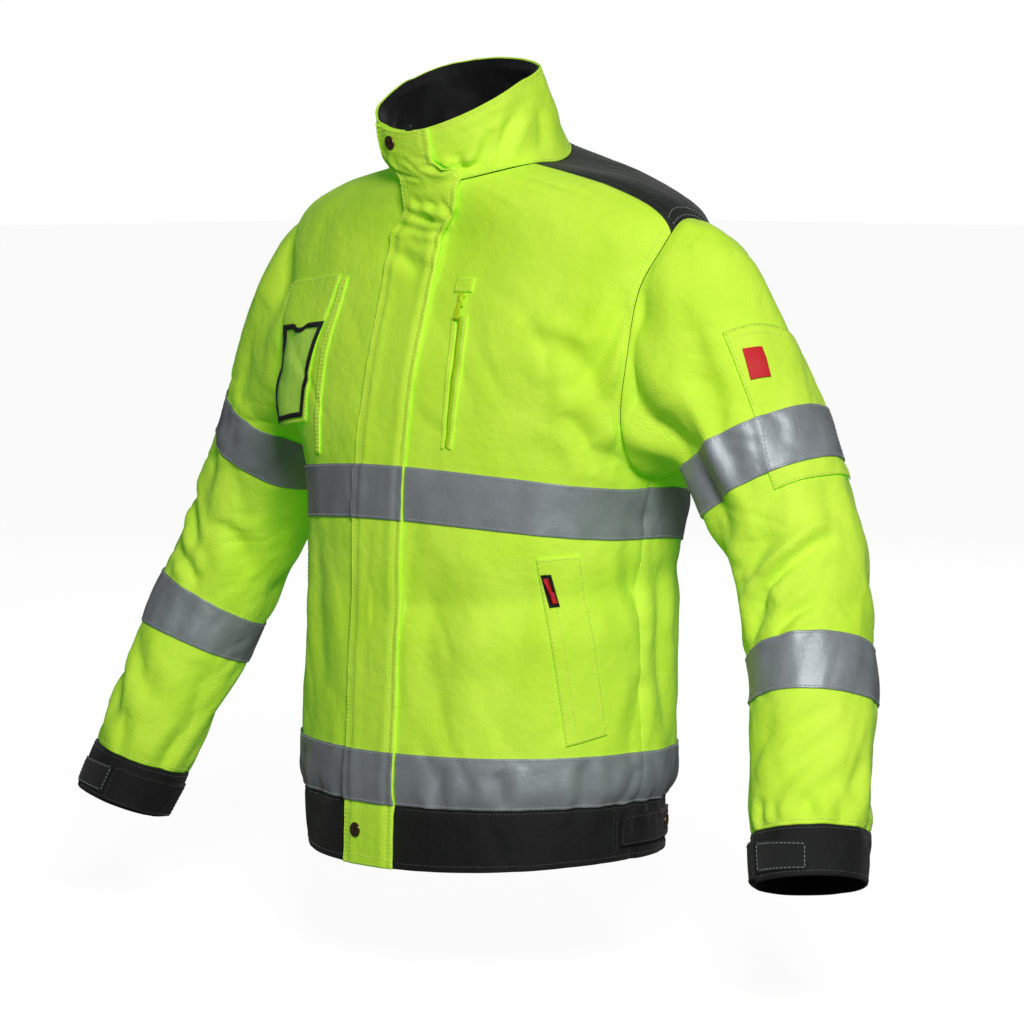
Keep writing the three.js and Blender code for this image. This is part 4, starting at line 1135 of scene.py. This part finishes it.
# Pockets: a vertical zipped pocket on the left chest, a slanted welt pocket on each front, and the
# welt beside the card holder on the right chest.
welt_out = layer_gap, 2
welt_line_out = welt_out[1] + on_cloth
garage = [(12.4, -113), (17.4, -113), (12.2, -97), (17.2, -97)]
chest_welt = [(-29.4, -286), (-31.6, -286), (-22.4, -100), (-24.8, -101)]
lower_welt = [(59.8, -530), (74.3, -521.3), (49.4, -364.3), (62.9, -358.4)]
holder = [(-36, -252), (-57, -256), (-25.5, -98), (-51, -114)]
chest_welt_sides = {
    "front": [(17.6, -274), (18.6, -274), (12.8, -137), (14.2, -137)],
    "side": [(19.9, -274), (20.9, -274), (16, -137), (17.3, -137)],
}
pocket_pieces = [
    ("chest_zip_welt_front", chest_welt_sides["front"], 3, 40, (12, 140), "front_left"),
    ("chest_zip_welt_side", chest_welt_sides["side"], 3, 40, (12, 140), "front_left"),
    ("chest_zip_garage", garage, 8, 8, (18, 16), "front_left"),
    ("lower_welt_left", lower_welt, 14, 52, (45, 165), "front_left"),
    ("lower_welt_right", on_side(-1, lower_welt), 14, 52, (45, 165), "front_right"),
    ("chest_welt_right", chest_welt, 4, 56, (12, 190), "front_right"),
]
for name, corners, columns, rows, size, front in pocket_pieces:
    cloth(name, [(body, *patch_grid(corners, columns, rows, size))], *welt_out, *lime, on=front,
          held="folded")
zip_slit = [(18.8, -273), (19.7, -273), (14.5, -137), (15.7, -137)]
cloth("chest_zip_tape", [(body, *patch_grid(zip_slit, 3, 40, (12, 140)))], layer_gap, 1.4, *zip_teeth,
      on="front_left")


def hangs_off(turn, at):
    """How far the loose card holder hangs off the front towards its outer lower corner, in mm."""
    return 9 * smooth((-turn - 33) / 22) * (0.1 + 1.5 * np.clip((-at - 115) / 125, 0, 1))


holder_grid = patch_grid(holder, 24, 48, (75, 155))
holder_hang = hangs_off(*holder_grid)
cloth("id_holder", [(body, *holder_grid)], laid_out[0] + holder_hang, laid_out[1] + holder_hang, *lime,
      on="front_right")

pocket_lines = []
for side in (1, -1):
    corners = on_side(side, lower_welt)
    pocket_lines += border_lines(body, corners, 2, (45, 165), welt_line_out)
    pocket_lines += border_lines(body, corners, 12, (45, 165), welt_line_out, sides=(2,))
for corners in chest_welt_sides.values():
    pocket_lines += border_lines(body, corners, 2.2, (5, 140), welt_line_out, sides=(2,))
pocket_lines += border_lines(body, garage, 2, (18, 16), welt_line_out)
pocket_lines += border_lines(body, chest_welt, 2, (8, 190), welt_line_out, sides=(2, 3))
for form, turn, at, out in border_lines(body, holder, 2, (75, 155), laid_out[1] + on_cloth):
    pocket_lines.append((form, turn, at, out + hangs_off(turn, at)))
sew("pocket_topstitching", pocket_lines, *lime_thread)

# The chest pocket's zip: a nylon coil on its tape, with a moulded slider and a ribbed pull tab that
# hangs from it on a wire loop. Nylon is smooth and slightly glossy.
coil = new_material("nylon_coil", Roughness=0.35, Specular_IOR_Level=0.5,
                    Base_Color=linear("#c4e81e"))[0], "lime_zip"
chest_run = between(-272, -139)
chest_coil = 19.25 + (15.1 - 19.25) * (chest_run + 273) / 136
small_pieces("chest_zip_coil", [(body, chest_coil, chest_run, 1.5)], 1.9, (1.7, 0.7), 0.7, *coil,
             crosswise=True)
small_pieces("main_zip_coil", [
    (body, 0, between(hem_level + 4, -2), 0), (collar, 0, between(0.02, 0.88), 0)
], 2.6, (3, 0.95), 0.9, *coil, crosswise=True)


def block_mesh(name, sections, place):
    """A closed moulded block: rounded oblong sections stacked along y, each a distance along y, half
    width, low z and high z. Its outline is a superellipse."""
    angle = np.linspace(0, 2 * math.pi, 28, endpoint=False)
    power = lambda value: np.sign(value) * np.abs(value) ** 0.45
    y, half, low, high = (part[:, None] for part in np.array(sections, float).T)
    points = np.stack([half * power(np.cos(angle)), y + 0 * angle,
                       (high + low) / 2 + (high - low) / 2 * power(np.sin(angle))], axis=-1).reshape(-1, 3)
    ends = [np.arange(len(angle)), np.arange(len(points) - 1, len(points) - len(angle) - 1, -1)]
    quads = ring_quads(len(sections), len(angle))[:, ::-1]
    return smooth_mesh(name, place(points), [*quads.tolist(), *(end.tolist() for end in ends)])


slider_sections = [(-6.5, 2.6, 0, 1.6), (-6, 3.2, 0, 2.2), (-3, 3.6, 0, 2.4), (-2, 2, 0, 3.6), (2, 2, 0, 3.8),
                   (3, 3.9, 0, 2.4), (5.6, 3.9, 0, 2.2), (6.5, 3.2, 0, 1.4)]
slider = block_mesh("zip_slider", slider_sections, lambda points: stand_on(points, body, 15, -121, 1.6))
show("zip_slider_moulded", slider, *coil, stands_for=["zip_slider"])
pull_sections = [(8, 1.2, -0.4, 0.4), (7.4, 1.9, -0.6, 0.6), (4, 1.9, -0.6, 0.6), (2.6, 2.8, -0.7, 0.7)]
for y in (1.6, -0.4, -2.4, -4.4):
    pull_sections += [(y, 3.4, -0.5, 0.5), (y - 0.6, 3.5, -0.8, 0.8), (y - 1.3, 3.5, -0.8, 0.8)]
pull_sections += [(-7, 3.2, -0.6, 0.6), (-8, 2.4, -0.4, 0.4)]
pull = block_mesh("zip_pull", pull_sections, lambda points: stand_on(points, body, 15, -133, 5.2))
show("zip_pull_moulded", pull, *coil, body_name="pull", stands_for=["zip_pull"])

# The main zip's top end: moulded acetal, dark and half gloss.
acetal = new_material("acetal_slider", Roughness=0.4, Specular_IOR_Level=0.5,
                      Base_Color=linear("#1a1b1b"))[0], "black_plastic"
end_sections = [(-4.5, 3, -1.2, 1.2), (-4, 3.9, -1.7, 1.7), (-1, 3.2, -1.8, 1.8), (1.5, 3.2, -1.8, 1.8),
                (4, 3.9, -1.7, 1.7), (4.5, 3, -1.2, 1.2)]
main_slider = block_mesh("main_zip_slider", end_sections, lambda points: stand_on(points, collar, 0, 1, -2.4))
show("main_zip_slider_moulded", main_slider, *acetal, stands_for=["main_zip_slider"])

# Card holder: a loose patch on the right chest with a clear PVC window, bound in black tape whose top
# edge dips in a thumb notch. The film is soft and wavy, so light runs down it in slanting streaks.
window = [(-36.8, -247), (-55, -251), (-28, -148), (-47.8, -157)]
holder_face = 2.4


def window_place(across, up):
    """A place in the window, ruled between its four corners, with the notch sunk in its top edge."""
    return between_corners(window, across, up * (1 - 0.045 * np.exp(-((across - 0.5) / 0.12) ** 4)))


edge = np.linspace(0, 1, 40, endpoint=False)
loop = np.concatenate([
    np.stack([edge, 0 * edge], -1), np.stack([0 * edge + 1, edge], -1),
    np.stack([1 - edge, 0 * edge + 1], -1), np.stack([0 * edge, 1 - edge], -1)])
inner_loop = np.array([0.08, 0.055]) + loop * np.array([0.79, 0.89])
bound = loop[None] + (inner_loop - loop)[None] * shares(5, 6)[:, None, None]
binding = window_place(bound[..., 0], bound[..., 1])
binding_hang = holder_face + hangs_off(*binding)
cloth("window_binding", [(body, *binding)], binding_hang, binding_hang + 1.4, *black, on="id_holder",
      closed=True)
film, film_shader, film_place = new_material(
    "clear_pvc_film", Roughness=0.12, Alpha=0.1, Specular_IOR_Level=0.6, IOR=1.53,
    Base_Color=linear("#d9e3b4"))
film_turned = add_node(film, "ShaderNodeMapping", {
    "Vector": film_place["Object"], "Rotation": (0.3, 0.5, 0.2), "Scale": (60, 60, 9)})
film_waves = add_node(film, "ShaderNodeTexNoise", {"Vector": film_turned.outputs[0], "Scale": 1, "Detail": 2})
film_bump = add_node(film, "ShaderNodeBump",
                     {"Height": film_waves.outputs["Fac"], "Strength": 1, "Distance": 0.004})
feed(film_shader, "Normal", film_bump.outputs[0])
pane = window_place(*np.meshgrid(np.linspace(0.07, 0.93, 24), np.linspace(0.05, 0.95, 44)))
pane_hang = holder_face + hangs_off(*pane)
cloth("card_window", [(body, *pane)], pane_hang, pane_hang + 0.6, film, "clear_film", on="id_holder",
      held="stretched")

# Label and badge: a small woven tag with a black ground on the pocket, and a square badge on the sleeve.
# Both are woven of fine red thread, which looks matt.
red, red_shader, red_place = new_material(
    "red_woven_badge", Roughness=0.55, Specular_IOR_Level=0.4, Base_Color=linear("#d6232a"))
red_thread = add_node(red, "ShaderNodeTexWave",
                      {"Vector": red_place["Object"], "Scale": 500, "Distortion": 1})
red_bump = add_node(red, "ShaderNodeBump",
                    {"Height": red_thread.outputs["Fac"], "Strength": 0.5, "Distance": 0.0003})
feed(red_shader, "Normal", red_bump.outputs[0])
ground_corners = [(53.6, -406), (56.8, -404.5), (50.8, -378), (54, -377)]
label_corners = [(54.4, -402.5), (56.2, -401.7), (51.4, -381), (53.3, -380.2)]
ground, lifted = body.surface(*patch_grid(ground_corners, 3, 8, (8, 26)))
show("pocket_label_backing", grid_mesh("pocket_label_backing", ground + 3.3 * lifted, ground + 2.5 * lifted,
                                       False), *black)
cloth("pocket_label", [(body, *patch_grid(label_corners, 3, 8, (5, 21)))], 4.8, 5.4, red, "red_badge",
      on="lower_welt_left")

# Sleeve pocket: a patch on the left upper arm, whose lower part the upper band crosses, with the badge.
pocket_share = shares(30, 84)[None, :]
pocket_top = 0.64 - 0.0016 * (-40 + 80 * pocket_share)
pocket_cap = pocket_top + (1 - pocket_top) * np.linspace(0, 1, 18)[:, None]
pocket_low = np.array([*np.linspace(251.5, 303, 17), 305.2, 306.6, 307.4, 308])[:, None] + 0 * pocket_share
pocket_at = np.concatenate([pocket_cap, pocket_low])
pocket_turn = -40 + (40 + pocket_front(pocket_at)) * pocket_share
left_arm = sleeves["left"]
cloth("sleeve_pocket", [(left_arm, pocket_turn, pocket_at)], pocket_gap, pocket_step, *lime, on="sleeve_left")
badge_corners = [(35, 0.83), (19, 0.85), (32, 0.69), (17, 0.72)]
cloth("sleeve_badge", [(left_arm, *patch_grid(badge_corners, 6, 8, (17, 28)))], pocket_step + 1,
      pocket_step + 2, red, "red_badge", on="sleeve_pocket")
top_turns = [(inset, between(-40 + inset, 40 - inset)) for inset in (2, 8)]
patch_lines = [(turn, 0.64 - 0.0016 * turn + inset / 190) for inset, turn in top_turns]
patch_lines += [(-38, between(start, end)) for start, end in ((0.72, 0.995), (295, 306))]
front_runs = [between(start, end) for start, end in ((0.59, 0.995), (295, 306))]
patch_lines += [(pocket_front(run) - 2, run) for run in front_runs]
patch_lines.append((between(-38, 48), 306))
sew("sleeve_pocket_topstitching",
    [(left_arm, turn, at, pocket_step + on_cloth) for turn, at in patch_lines], *lime_thread)

# Floor, lights and camera: a pale floor, a broad soft light from the wearer's left and a weak one from
# the right, seen from the wearer's front left. The floor is matt white paper, lit so evenly that it
# nearly glows: most of its white is its own.
floor_mesh = bpy.data.meshes.new("floor")
floor_mesh.from_pydata([(-30, -30, -0.76), (30, -30, -0.76), (30, 30, -0.76), (-30, 30, -0.76)], [],
                       [(0, 1, 2, 3)])
floor = in_scene("floor", floor_mesh)
floor_mesh.materials.append(new_material(
    "matt_white_paper", Roughness=0.9, Specular_IOR_Level=0, Emission_Strength=0.94,
    Base_Color=linear("#6e6e6e"), Emission_Color=linear("#ffffff"))[0])
floor.visible_diffuse = False
floor.visible_glossy = False

# The studio's white wall fills the picture, but only a tenth as much light comes from all sides.
world = bpy.data.worlds.new("studio")
bpy.context.scene.world = world
world.use_nodes = True
backdrop = world.node_tree.nodes["Background"]
backdrop.inputs["Color"].default_value = linear("#ffffff")
seen = add_node(world, "ShaderNodeLightPath")
brightness = add_node(world, "ShaderNodeMapRange", {"Value": seen.outputs["Is Camera Ray"], "To Min": 0.09})
feed(backdrop, "Strength", brightness.outputs["Result"])
bpy.context.scene.view_settings.view_transform = "Standard"


def look_from(azimuth, elevation, distance, target):
    """The place and turning that look at a target. azimuth 0 is in front, 90 the wearer's left."""
    turn, rise = math.radians(azimuth), math.radians(elevation)
    away = np.array([math.sin(turn) * math.cos(rise), -math.cos(turn) * math.cos(rise), math.sin(rise)])
    across = np.array([math.cos(turn), math.sin(turn), 0])
    columns = [across, np.cross(away, across), away, np.array(target) + away * distance]
    return Matrix([*np.transpose(columns).tolist(), [0, 0, 0, 1]])


for name, azimuth, elevation, distance, size, power in (
        ("key", 52, 27, 4.2, 1.1, 136), ("back", 212, 24, 4.4, 2, 24)):
    light = bpy.data.lights.new(name, "AREA")
    light.shape, light.size, light.energy = "SQUARE", size, power
    in_scene(name, light).matrix_world = look_from(azimuth, elevation, distance, (0, 0, -0.3))

lens = bpy.data.cameras.new("camera")
lens.sensor_width, lens.sensor_height = 36, 36
lens.lens = 4766 / 1024 * 36
camera = in_scene("camera", lens)
camera.matrix_world = look_from(45, 4.5, 4.5, (0.0127, 0.0127, -0.33))
bpy.context.scene.camera = camera

bpy.context.view_layer.update()
